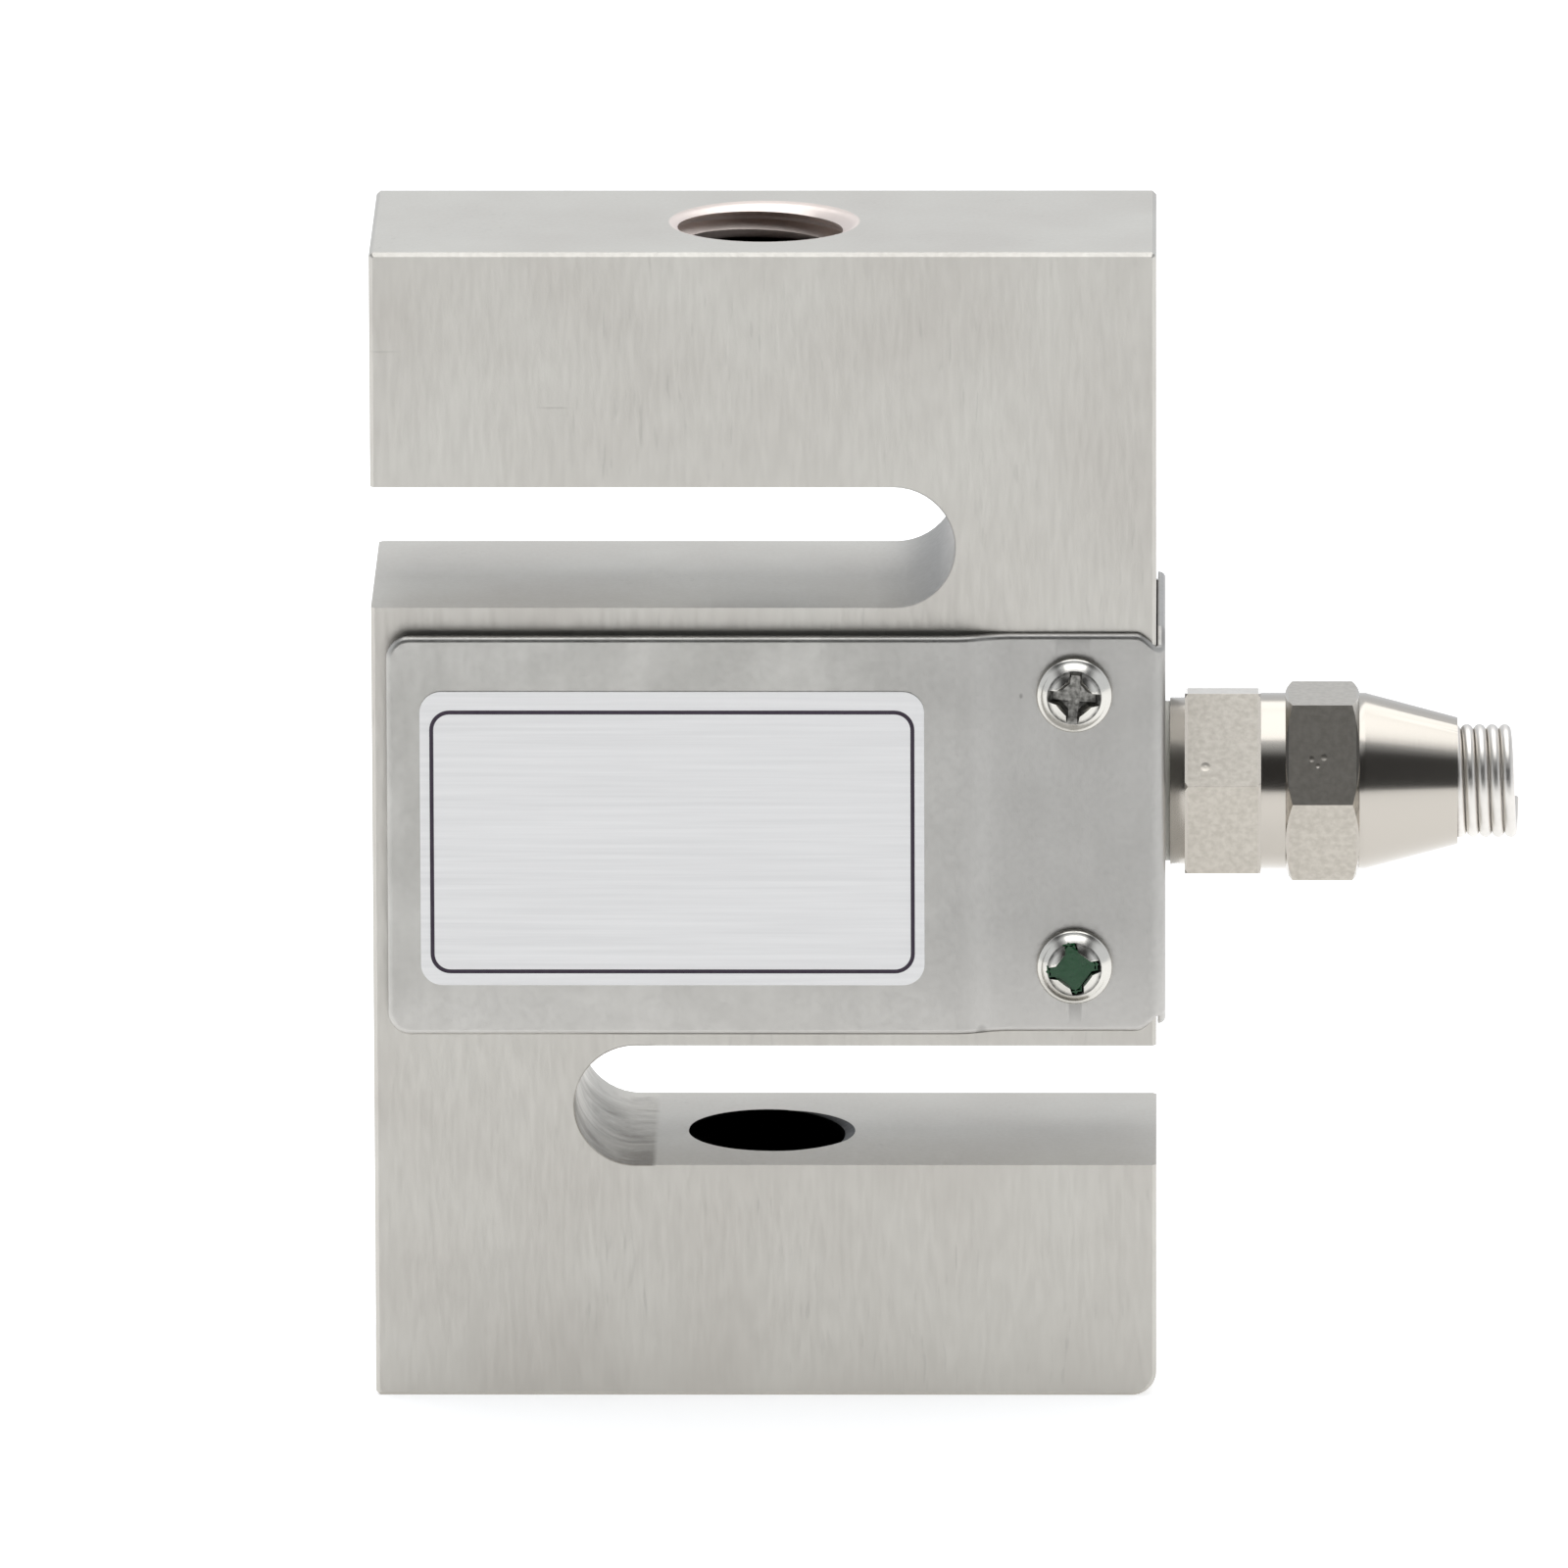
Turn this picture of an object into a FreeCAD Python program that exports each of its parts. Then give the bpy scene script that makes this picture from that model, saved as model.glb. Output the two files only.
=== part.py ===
import FreeCAD, Part
import math
import os
import Sketcher

# S-type load cell: a one-piece steel spring element with two slots, a bent sheet cover
# over its gauge cavity, and a cable gland with a strain-relief spring on its side.
#
# Frame: +X towards the cable gland, +Y to the back, +Z up along the load axis.
# The origin is the centre of the bottom face. All sizes are in millimetres.

SIZES = [
    # spring element
    ("element_width", 50.8, "across the arms, along X"),
    ("element_height", 76.2, "from the bottom face to the top face"),
    ("element_depth", 19.05, "front face to back face"),
    ("arm_height", 15.5, "upper and lower arm"),
    ("slot_height", 8.0, "both slots, with full-round inner ends"),
    ("slot_reach", 12.4, "from the load axis to the round end of a slot"),
    ("edge_break", 0.25, "chamfer on the outer edges"),
    ("foot_radius", 1.6, "rounded lower edge on the gland side"),
    ("tapped_radius", 5.1, "M12 x 1.75 tapping drill"),
    ("mouth_radius", 6.15, "countersink at the outer mouth of a tapped hole"),
    # gauge cavity and what goes in it
    ("cavity_radius", 8.5, "two cross bores that leave the thin gauged walls"),
    ("cavity_offset", 8.75, "from the load axis to each cross bore"),
    ("bridge_height", 8.0, "slot that joins the two cross bores"),
    ("fill_depth", 18.8, "depth of the potting, just inside both faces"),
    ("foil_thickness", 0.15, "bonded foil gauge with its backing"),
    ("foil_width", 5.0, "gauge along Y"),
    ("foil_angle", 40.0, "arc of cavity wall that a gauge covers"),
    ("lead_width", 0.8, "flat gauge lead along Y"),
    ("lead_thickness", 0.12, "flat gauge lead"),
    ("lead_spread", 1.5, "height of a lead above or below the board's middle"),
    ("board_width", 10.0, "terminal board along X"),
    ("board_height", 6.0, "terminal board along Z"),
    ("board_thickness", 0.8, "terminal board along Y"),
    ("resistor_width", 3.2, "trim resistor along X"),
    ("resistor_height", 1.6, "trim resistor along Z"),
    ("resistor_depth", 0.6, "trim resistor off the board"),
    # wrap cover, its seals and its nameplate
    ("sheet", 0.5, "cover sheet"),
    ("cover_height", 26.2, "cover along Z, centred on the middle block"),
    ("cover_left", 24.4, "from the load axis to the cover's free ends"),
    ("cover_side_gap", 0.1, "between the element's side and the cover"),
    ("flange_gap", 0.1, "under the screwed end of the cover"),
    ("pan_gap", 1.0, "under the raised part over the gauge cavity"),
    ("joggle_start", 13.1, "where the raised part begins to step down"),
    ("joggle_end", 15.3, "where the step ends"),
    ("bend_radius", 1.1, "outer radius of the two bends"),
    ("cover_corner", 1.5, "corner radius of the free ends"),
    ("rim_break", 0.25, "softened outer rim of the sheet"),
    ("seal_inset", 0.3, "cover edge to seal edge"),
    ("plate_thickness", 0.1, "nameplate film"),
    ("plate_width", 32.65, "nameplate along X"),
    ("plate_height", 19.55, "nameplate along Z"),
    ("plate_middle", -5.93, "nameplate centre along X"),
    ("plate_drop", 0.38, "nameplate centre below the cover's centre"),
    ("plate_corner", 1.4, "nameplate corner radius"),
    # cover screws, M2.5 pan head with a cross recess
    ("screw_reach", 20.1, "from the load axis to the screws"),
    ("screw_spread", 9.05, "from the cover's centre to each screw"),
    ("screw_radius", 1.2, "screw shank"),
    ("screw_length", 5.0, "under the head"),
    ("screw_hole_radius", 1.25, "hole in the element"),
    ("screw_hole_depth", 5.5, "hole in the element"),
    ("screw_clearance_radius", 1.45, "hole in the cover"),
    ("head_radius", 2.5, "pan head"),
    ("head_height", 1.8, "pan head"),
    ("head_side", 1.15, "straight side of a pan head"),
    ("head_crown_radius", 1.85, "flat crown of a pan head"),
    ("recess_span", 3.2, "cross recess, tip to tip"),
    ("recess_arm", 0.85, "cross recess, width of an arm"),
    ("recess_depth", 1.1, "cross recess"),
    ("paint_depth", 0.6, "tamper-seal paint in a recess"),
    # cable gland, turned about its own X axis
    ("gland_height", 38.9, "gland axis above the bottom face"),
    ("port_radius", 4.0, "gland hole in the element"),
    ("cover_port_radius", 4.2, "gland hole in the cover"),
    ("shank_radius", 3.9, "threaded shank in the element"),
    ("shank_length", 7.5, "shank, from the element's side inwards"),
    ("bore_radius", 2.6, "cable bore"),
    ("neck_radius", 5.45, "collar that clamps the cover"),
    ("neck_length", 1.25, "collar that clamps the cover"),
    ("washer_thickness", 0.3, "sealing washer between collar and cover"),
    ("washer_radius", 5.2, "sealing washer between collar and cover"),
    ("gland_flats", 11.5, "gland body hexagon across flats"),
    ("gland_hex_length", 4.95, "gland body hexagon"),
    ("gland_hex_turn", 10.2, "degrees, front corner above the horizontal"),
    ("hex_break", 0.3, "turned chamfer on the gland body hexagon"),
    ("collar_radius", 5.75, "plain collar beyond the hexagon"),
    ("collar_length", 1.6, "plain collar beyond the hexagon"),
    ("male_radius", 4.7, "thread that carries the cap nut"),
    ("male_length", 6.0, "thread that carries the cap nut"),
    ("seat_radius", 3.75, "seal seat in the gland body, spring seat in the cap nut"),
    ("seat_depth", 4.6, "seal seat in the gland body"),
    ("seal_radius", 3.7, "rubber cable seal"),
    ("seal_stand", 0.4, "cable seal proud of the gland body"),
    ("ring_thickness", 0.7, "thrust ring between seal and cap nut"),
    ("outlet_radius", 2.95, "bore of the thrust ring and of the cap nut's shoulder"),
    ("cap_flats", 11.7, "cap nut hexagon across flats"),
    ("cap_hex_length", 4.8, "cap nut hexagon"),
    ("cap_break", 0.45, "turned chamfer on the cap nut hexagon, along X"),
    ("cap_face_radius", 5.85, "turned chamfer on the cap nut hexagon, at its ends"),
    ("cap_thread_radius", 4.8, "threaded bore of the cap nut"),
    ("cone_land", 0.4, "plain land before the cone"),
    ("cone_length", 6.0, "cone of the cap nut"),
    ("cone_start_radius", 5.75, "cone of the cap nut"),
    ("cone_end_radius", 4.15, "cone of the cap nut"),
    ("spring_seat_depth", 1.4, "spring seat in the mouth of the cap nut"),
    # strain-relief spring
    ("wire_radius", 0.4, "spring wire"),
    ("coil_radius", 3.3, "centre line of the coil"),
    ("coil_pitch", 0.82, "close-wound"),
    ("coil_length", 5.44, "overall"),
]

# Names for lengths that several pieces share.
DERIVED = [
    ("half_width", "element_width / 2"),
    ("half_depth", "element_depth / 2"),
    ("block_bottom", "arm_height + slot_height"),
    ("block_middle", "element_height / 2"),
    ("block_top", "element_height - arm_height - slot_height"),
    ("slot_radius", "slot_height / 2"),
    ("mouth_depth", "(mouth_radius - tapped_radius) * tan(30)"),
    ("cover_side", "half_width + cover_side_gap"),
    ("cover_outside", "cover_side + sheet"),
    ("flange_inside", "half_depth + flange_gap"),
    ("flange_outside", "flange_inside + sheet"),
    ("pan_inside", "half_depth + pan_gap"),
    ("pan_outside", "pan_inside + sheet"),
    ("gland_hex_start", "cover_outside + neck_length"),
    ("gland_hex_end", "gland_hex_start + gland_hex_length"),
    ("cap_start", "gland_hex_end + collar_length"),
    ("male_end", "cap_start + male_length"),
    ("seal_start", "male_end - seat_depth"),
    ("seal_end", "male_end + seal_stand"),
    ("shoulder_start", "seal_end + ring_thickness"),
    ("cap_hex_end", "cap_start + cap_hex_length"),
    ("cone_start", "cap_hex_end + cone_land"),
    ("cone_end", "cone_start + cone_length"),
    ("shoulder_end", "cone_end - spring_seat_depth"),
    ("coil_turns", "(coil_length - 2 * wire_radius) / coil_pitch"),
]

doc = FreeCAD.newDocument("s_type_load_cell")
sheet = doc.addObject("Spreadsheet::Sheet", "sizes")
NAMES = [name for name, *rest in SIZES] + [name for name, *rest in DERIVED]
pieces = []


def fill_sheet():
    """One row per size: its meaning, then its value under its alias."""
    row = 0
    for name, size, meaning in SIZES:
        row += 1
        sheet.set("A%d" % row, meaning)
        sheet.set("B%d" % row, str(size))
        sheet.setAlias("B%d" % row, name)
    for name, formula in DERIVED:
        row += 1
        sheet.set("A%d" % row, "worked out")
        sheet.set("B%d" % row, "=" + formula)
        sheet.setAlias("B%d" % row, name)
    doc.recompute()


def linked(formula):
    """The formula with every size name pointing into the sheet."""
    text = str(formula)
    words = sorted(NAMES, key=len, reverse=True)
    out, at = "", 0
    while at < len(text):
        hit = None
        if not (at and (text[at - 1].isalnum() or text[at - 1] == "_")):
            hit = next((w for w in words if text.startswith(w, at)), None)
        out += "sizes." + hit if hit else text[at]
        at += len(hit) if hit else 1
    return out


def number(formula):
    """The present value of a formula."""
    result = sheet.evalExpression(linked(formula))
    return float(getattr(result, "Value", result))


def new_body(label, x="0", y="0", z="0"):
    """An empty PartDesign body whose own origin sits at (x, y, z)."""
    body = doc.addObject("PartDesign::Body", label)
    body.Label = label
    for axis, formula in zip("xyz", (x, y, z)):
        body.setExpression("Placement.Base." + axis, linked(formula))
    doc.recompute()
    return body


def keep(piece):
    """Note a finished piece; its Label names its file."""
    pieces.append(piece)
    return piece


def new_sketch(body, name, plane, offset="0"):
    """A sketch on one of the body's origin planes, moved along that plane's normal."""
    sketch = body.newObject("Sketcher::SketchObject", name)
    origin_plane = next(f for f in body.Origin.OriginFeatures if f.Role == plane)
    sketch.AttachmentSupport = [(origin_plane, "")]
    sketch.MapMode = "FlatFace"
    sketch.setExpression("AttachmentOffset.Base.z", linked(offset))
    return sketch


def pin_point(sketch, geometry, end, across, up):
    """Tie a point of the sketch to the sketch's origin."""
    for kind, formula in (("DistanceX", across), ("DistanceY", up)):
        index = sketch.addConstraint(
            Sketcher.Constraint(kind, -1, 1, geometry, end, number(formula))
        )
        sketch.setExpression("Constraints[%d]" % index, linked(formula))


def outline(body, name, plane, corners, offset="0"):
    """A closed outline of straight edges through corners given as pairs of formulas."""
    sketch = new_sketch(body, name, plane, offset)
    places = [FreeCAD.Vector(number(a), number(b), 0) for a, b in corners]
    count = len(places)
    for i in range(count):
        sketch.addGeometry(Part.LineSegment(places[i], places[(i + 1) % count]), False)
    for i in range(count):
        sketch.addConstraint(Sketcher.Constraint("Coincident", i, 2, (i + 1) % count, 1))
    for i, (across, up) in enumerate(corners):
        pin_point(sketch, i, 1, across, up)
    doc.recompute()
    return sketch


def circles(body, name, plane, rounds, offset="0"):
    """Circles given as (across, up, radius) formulas."""
    sketch = new_sketch(body, name, plane, offset)
    for across, up, radius in rounds:
        centre = FreeCAD.Vector(number(across), number(up), 0)
        normal = FreeCAD.Vector(0, 0, 1)
        i = sketch.addGeometry(Part.Circle(centre, normal, number(radius)), False)
        pin_point(sketch, i, 3, across, up)
        index = sketch.addConstraint(Sketcher.Constraint("Radius", i, number(radius)))
        sketch.setExpression("Constraints[%d]" % index, linked(radius))
    doc.recompute()
    return sketch


def hexagon(flats, turn):
    """Corners of a hexagon about the sketch origin, one of them turned up from -Y."""
    corner = "%s / 2 / cos(30)" % flats
    angles = ["(%d - %s)" % (180 + 60 * i, turn) for i in range(6)]
    return [("%s * cos%s" % (corner, a), "%s * sin%s" % (corner, a)) for a in angles]


def cross(span, arm):
    """Corners of an upright cross about the sketch origin."""
    tip, side = "%s / 2" % span, "%s / 2" % arm
    quarter = [(tip, side), (side, side), (side, tip)]
    corners = []
    for turn in range(4):
        for across, up in quarter:
            a, b = "(%s)" % across, "(%s)" % up
            turned = [(a, b), ("-" + b, a), ("-" + a, "-" + b), (b, "-" + a)]
            corners.append(turned[turn])
    return corners


def feature(body, kind, name, sketch, **settings):
    """A PartDesign feature on a sketch; texts among its settings are formulas."""
    item = body.newObject("PartDesign::" + kind, name)
    item.Profile = sketch
    for key, setting in settings.items():
        if key in ("Length", "Angle", "Pitch", "Turns"):
            item.setExpression(key, linked(setting))
        else:
            setattr(item, key, setting)
    doc.recompute()
    return item


def turned(body, kind, name, corners, axis="H_Axis"):
    """A Revolution or Groove of an outline in the XZ plane about one of its axes."""
    sketch = outline(body, name + "_profile", "XZ_Plane", corners)
    return feature(body, kind, name, sketch, ReferenceAxis=(sketch, [axis]), Angle="360")


def pocket(body, name, sketch, depth, back):
    """Cut to a depth along the sketch's normal, or against it when back is set."""
    before = body.Shape.Volume
    item = feature(body, "Pocket", name, sketch, Length=depth, Reversed=back)
    assert body.Shape.Volume < before, name + " cuts nothing"
    return item


def pocket_through(body, name, sketch):
    """Cut right through, both ways from the sketch."""
    before = body.Shape.Volume
    item = feature(body, "Pocket", name, sketch, Type="ThroughAll", SideType="Symmetric")
    assert body.Shape.Volume < before, name + " cuts nothing"
    return item


def dress(body, kind, name, test, size):
    """A Fillet or Chamfer on every edge of the body that passes the test."""
    base = body.Tip
    chosen = ["Edge%d" % (i + 1) for i, e in enumerate(base.Shape.Edges) if test(e)]
    assert chosen, name + " finds no edge"
    item = body.newObject("PartDesign::" + kind, name)
    item.Base = (base, chosen)
    item.setExpression("Radius" if kind == "Fillet" else "Size", linked(size))
    doc.recompute()
    return item


def lies_at(edge, axis, place, slack=1e-4):
    """Whether the whole edge has one coordinate, axis x, y or z, at a place."""
    box = edge.BoundBox
    low, high = getattr(box, axis.upper() + "Min"), getattr(box, axis.upper() + "Max")
    return abs(low - place) < slack and abs(high - place) < slack


def runs_along(edge, axis):
    """Whether the edge is a straight line along x, y or z."""
    spans = {"x": edge.BoundBox.XLength, "y": edge.BoundBox.YLength, "z": edge.BoundBox.ZLength}
    along = spans.pop(axis)
    return along > 1e-3 and max(spans.values()) < 1e-4


def mirrored_pairs(front):
    """A section outline in plan: the front half's corners, then the same at the back."""
    back = [(across, "-(%s)" % up) for across, up in reversed(front)]
    return front + back


# --- spring element -------------------------------------------------------------------


def slot_sketch(body, name, side, height):
    """An open-ended slot with a full-round inner end; side is the way its mouth faces."""
    sketch = new_sketch(body, name, "XZ_Plane")
    mouth = "%d * (half_width + 1)" % side
    centre = "%d * (slot_radius - slot_reach)" % side
    radius = number("slot_radius")
    hub = FreeCAD.Vector(number(centre), number(height), 0)
    top, bottom = hub + FreeCAD.Vector(0, radius, 0), hub - FreeCAD.Vector(0, radius, 0)
    edge_x = number(mouth)
    start = -math.pi / 2 if side < 0 else math.pi / 2
    circle = Part.Circle(hub, FreeCAD.Vector(0, 0, 1), radius)
    sketch.addGeometry(Part.ArcOfCircle(circle, start, start + math.pi), False)
    first, last = (bottom, top) if side < 0 else (top, bottom)
    corner_a = FreeCAD.Vector(edge_x, last.y, 0)
    corner_b = FreeCAD.Vector(edge_x, first.y, 0)
    for a, b in ((last, corner_a), (corner_a, corner_b), (corner_b, first)):
        sketch.addGeometry(Part.LineSegment(a, b), False)
    sketch.addConstraint(Sketcher.Constraint("Tangent", 0, 2, 1, 1))
    sketch.addConstraint(Sketcher.Constraint("Coincident", 1, 2, 2, 1))
    sketch.addConstraint(Sketcher.Constraint("Coincident", 2, 2, 3, 1))
    sketch.addConstraint(Sketcher.Constraint("Tangent", 3, 2, 0, 1))
    sketch.addConstraint(Sketcher.Constraint("Horizontal", 1))
    sketch.addConstraint(Sketcher.Constraint("Vertical", 2))
    pin_point(sketch, 0, 3, centre, height)
    for kind, ends, formula in (
        ("Radius", (0,), "slot_radius"),
        ("DistanceX", (-1, 1, 1, 2), mouth),
    ):
        index = sketch.addConstraint(Sketcher.Constraint(kind, *ends, number(formula)))
        sketch.setExpression("Constraints[%d]" % index, linked(formula))
    doc.recompute()
    return sketch


def spring_element():
    """The S-shaped steel body: block, slots, tapped holes, gauge cavity, gland port."""
    body = new_body("spring_element")
    low, high = "-half_width", "half_width"
    corners = [(low, "0"), (high, "0"), (high, "element_height"), (low, "element_height")]
    blank = outline(body, "blank_face", "XZ_Plane", corners)
    feature(body, "Pad", "blank", blank, Length="element_depth", SideType="Symmetric")
    side, depth = number("half_width"), number("half_depth")

    def foot(edge):
        return runs_along(edge, "y") and lies_at(edge, "x", side) and lies_at(edge, "z", 0)

    dress(body, "Fillet", "foot_edge", foot, "foot_radius")

    def long_corner(edge):
        if not runs_along(edge, "y"):
            return False
        left = lies_at(edge, "x", -side)
        return left or (lies_at(edge, "x", side) and edge.BoundBox.ZMin > side)

    dress(body, "Chamfer", "corner_breaks", long_corner, "edge_break")

    def rim(edge):
        return lies_at(edge, "y", depth) or lies_at(edge, "y", -depth)

    dress(body, "Chamfer", "face_breaks", rim, "edge_break")

    upper = slot_sketch(body, "upper_slot_outline", -1, "block_top + slot_radius")
    pocket_through(body, "upper_slot", upper)
    lower = slot_sketch(body, "lower_slot_outline", 1, "arm_height + slot_radius")
    pocket_through(body, "lower_slot", lower)
    tapped_holes(body)
    gauge_cavity(body)
    return keep(body)


def tapped_holes(body):
    """Both arms tapped through on the load axis, with 120 degree countersinks outside."""
    place = [("0", "0", "tapped_radius")]
    drill = circles(body, "lower_drill", "XY_Plane", place)
    pocket(body, "lower_tapping", drill, "arm_height", True)
    drill = circles(body, "upper_drill", "XY_Plane", place, "element_height")
    pocket(body, "upper_tapping", drill, "arm_height", False)
    lower = [("0", "0"), ("mouth_radius", "0"), ("tapped_radius", "mouth_depth"), ("0", "mouth_depth")]
    upper = [(across, "element_height - " + up) for across, up in lower]
    turned(body, "Groove", "lower_countersink", lower, "V_Axis")
    turned(body, "Groove", "upper_countersink", upper, "V_Axis")


def gauge_cavity(body):
    """Two joined cross bores, the cover's screw holes and the gland's port."""
    bores, bridge = cavity_sketches(body)
    pocket_through(body, "cross_bores", bores)
    pocket_through(body, "bridge", bridge)
    places = screw_places("screw_hole_radius")
    for side, face, back in (("front", "half_depth", False), ("rear", "-half_depth", True)):
        holes = circles(body, side + "_screw_circles", "XZ_Plane", places, face)
        pocket(body, side + "_screw_holes", holes, "screw_hole_depth", back)
    place = [("0", "gland_height", "port_radius")]
    port = circles(body, "port_circle", "YZ_Plane", place, "half_width")
    pocket(body, "gland_port", port, "half_width - cavity_offset", False)


def cavity_sketches(body):
    """The two cross bores, and the bridge that joins them, as two sketches."""
    left, right = "-cavity_offset", "cavity_offset"
    rounds = [(across, "block_middle", "cavity_radius") for across in (left, right)]
    bores = circles(body, "cross_bore_circles", "XZ_Plane", rounds)
    low, high = "block_middle - bridge_height / 2", "block_middle + bridge_height / 2"
    corners = [(left, low), (right, low), (right, high), (left, high)]
    return bores, outline(body, "bridge_outline", "XZ_Plane", corners)


def screw_places(radius):
    """The two screws of one face, as circles of a given radius."""
    return [("screw_reach", "block_middle %s screw_spread" % sign, radius) for sign in "+-"]


# --- cover ----------------------------------------------------------------------------


def wrap_cover():
    """One bent sheet over the front, the gland side and the back of the middle block."""
    body = new_body("wrap_cover")
    outer = [
        ("-cover_left", "-pan_outside"),
        ("joggle_start", "-pan_outside"),
        ("joggle_end", "-flange_outside"),
        ("cover_outside", "-flange_outside"),
    ]
    inner = [
        ("-cover_left", "-pan_inside"),
        ("joggle_start", "-pan_inside"),
        ("joggle_end", "-flange_inside"),
        ("cover_side", "-flange_inside"),
    ]
    section = mirrored_pairs(outer) + [
        (across, up) for across, up in reversed(mirrored_pairs(inner))
    ]
    sketch = outline(
        body, "bent_section", "XY_Plane", section, "block_middle - cover_height / 2"
    )
    feature(body, "Pad", "bent_sheet", sketch, Length="cover_height")
    outside, skin = number("cover_outside"), number("flange_outside")
    left = number("cover_left")
    middle, half = number("block_middle"), number("cover_height / 2")

    def at_plan(x, y):
        def test(edge):
            box = edge.BoundBox
            here = abs(box.Center.x - x) < 1e-3 and abs(abs(box.Center.y) - y) < 1e-3
            return here and runs_along(edge, "z")

        return test

    dress(body, "Fillet", "outer_bends", at_plan(outside, skin), "bend_radius")
    inner_bend = at_plan(number("cover_side"), number("flange_inside"))
    dress(body, "Fillet", "inner_bends", inner_bend, "bend_radius - sheet")

    def free_corner(edge):
        return runs_along(edge, "y") and lies_at(edge, "x", -left)

    dress(body, "Fillet", "free_corners", free_corner, "cover_corner")
    port = circles(body, "port", "YZ_Plane", [("0", "gland_height", "cover_port_radius")])
    feature(body, "Pocket", "gland_port", port, Type="ThroughAll", Reversed=True)
    holes = circles(body, "screw_circles", "XZ_Plane", screw_places("screw_clearance_radius"))
    pocket_through(body, "screw_holes", holes)

    def outer_rim(edge):
        level = abs(abs(edge.BoundBox.Center.z - middle) - half) < number("cover_corner")
        end = lies_at(edge, "x", -left) and runs_along(edge, "z")
        return (level or end) and on_outer_skin(edge)

    dress(body, "Chamfer", "outer_rim", outer_rim, "rim_break")
    return keep(body)


def on_outer_skin(edge):
    """Whether the edge follows the outside of the cover's bent section in plan."""
    low, high = edge.ParameterRange
    along = [edge.valueAt(low + share * (high - low)) for share in (0.1, 0.5, 0.9)]
    return all(depth_in_sheet(at.x, abs(at.y)) < number("sheet") / 4 for at in along)


def depth_in_sheet(x, y):
    """How far a point of the cover's section lies from its outer skin."""
    pan, flange, end = number("pan_outside"), number("flange_outside"), number("cover_outside")
    bend = number("bend_radius")
    if x > end - bend and y > flange - bend:
        return bend - math.hypot(x - end + bend, y - flange + bend)
    if y > flange - bend and x < end - bend:
        share = (x - number("joggle_start")) / number("joggle_end - joggle_start")
        skin = pan + (flange - pan) * min(max(share, 0), 1)
        return skin - y
    return end - x


def cover_seal(label, side):
    """Dark sealing layer between one face of the element and the cover."""
    body = new_body(label)
    corners = [
        ("seal_inset - cover_left", "half_depth"),
        ("seal_inset - cover_left", "pan_inside"),
        ("joggle_start", "pan_inside"),
        ("joggle_end", "flange_inside"),
        ("joggle_end", "half_depth"),
    ]
    placed = [(across, "%d * (%s)" % (side, up)) for across, up in corners]
    bottom = "block_middle - cover_height / 2 + seal_inset"
    sketch = outline(body, "section", "XY_Plane", placed, bottom)
    feature(body, "Pad", "layer", sketch, Length="cover_height - 2 * seal_inset")
    end = number("seal_inset - cover_left")

    def free_corner(edge):
        return runs_along(edge, "y") and lies_at(edge, "x", end)

    dress(body, "Fillet", "free_corners", free_corner, "cover_corner - seal_inset")
    return keep(body)


def nameplate():
    """Bare adhesive film with rounded corners on the raised front of the cover."""
    body = new_body("nameplate", "plate_middle", "-pan_outside", "block_middle - plate_drop")
    low, high = "-plate_width / 2", "plate_width / 2"
    bottom, top = "-plate_height / 2", "plate_height / 2"
    corners = [(low, bottom), (high, bottom), (high, top), (low, top)]
    sketch = outline(body, "film_outline", "XZ_Plane", corners)
    feature(body, "Pad", "film", sketch, Length="plate_thickness")
    dress(body, "Fillet", "corners", lambda edge: runs_along(edge, "y"), "plate_corner")
    return keep(body)


# --- cover screws -----------------------------------------------------------------------


def face_the(body, side, turn=0):
    """Turn a piece made along +Z so that it points out of the front (-1) or back (1)."""
    tilt = FreeCAD.Rotation(FreeCAD.Vector(1, 0, 0), -90 * side)
    spin = FreeCAD.Rotation(FreeCAD.Vector(0, 0, 1), turn)
    body.Placement = FreeCAD.Placement(body.Placement.Base, tilt * spin)


def cover_screw(label, side, sign, turn):
    """M2.5 pan-head screw with a cross recess, clamped on the cover."""
    place = ("screw_reach", "%d * flange_outside" % side, "block_middle %s screw_spread" % sign)
    body = new_body(label, *place)
    corners = [
        ("0", "-screw_length"),
        ("screw_radius", "-screw_length"),
        ("screw_radius", "0"),
        ("head_radius", "0"),
        ("head_radius", "head_side"),
        ("head_crown_radius", "head_height"),
        ("0", "head_height"),
    ]
    turned(body, "Revolution", "screw_form", corners, "V_Axis")
    corners = cross("recess_span", "recess_arm")
    arms = outline(body, "recess_cross", "XY_Plane", corners, "head_height")
    pocket(body, "recess", arms, "recess_depth", False)
    face_the(body, side, turn)
    return keep(body)


def tamper_seal(side, sign, turn):
    """Dried paint in the bottom of one screw's recess."""
    place = ("screw_reach", "%d * flange_outside" % side, "block_middle %s screw_spread" % sign)
    body = new_body("tamper_seal", *place)
    floor = "head_height - recess_depth"
    arms = outline(body, "paint_cross", "XY_Plane", cross("recess_span", "recess_arm"), floor)
    feature(body, "Pad", "paint", arms, Length="paint_depth")
    face_the(body, side, turn)
    return keep(body)


# --- gauge bridge -----------------------------------------------------------------------


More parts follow.
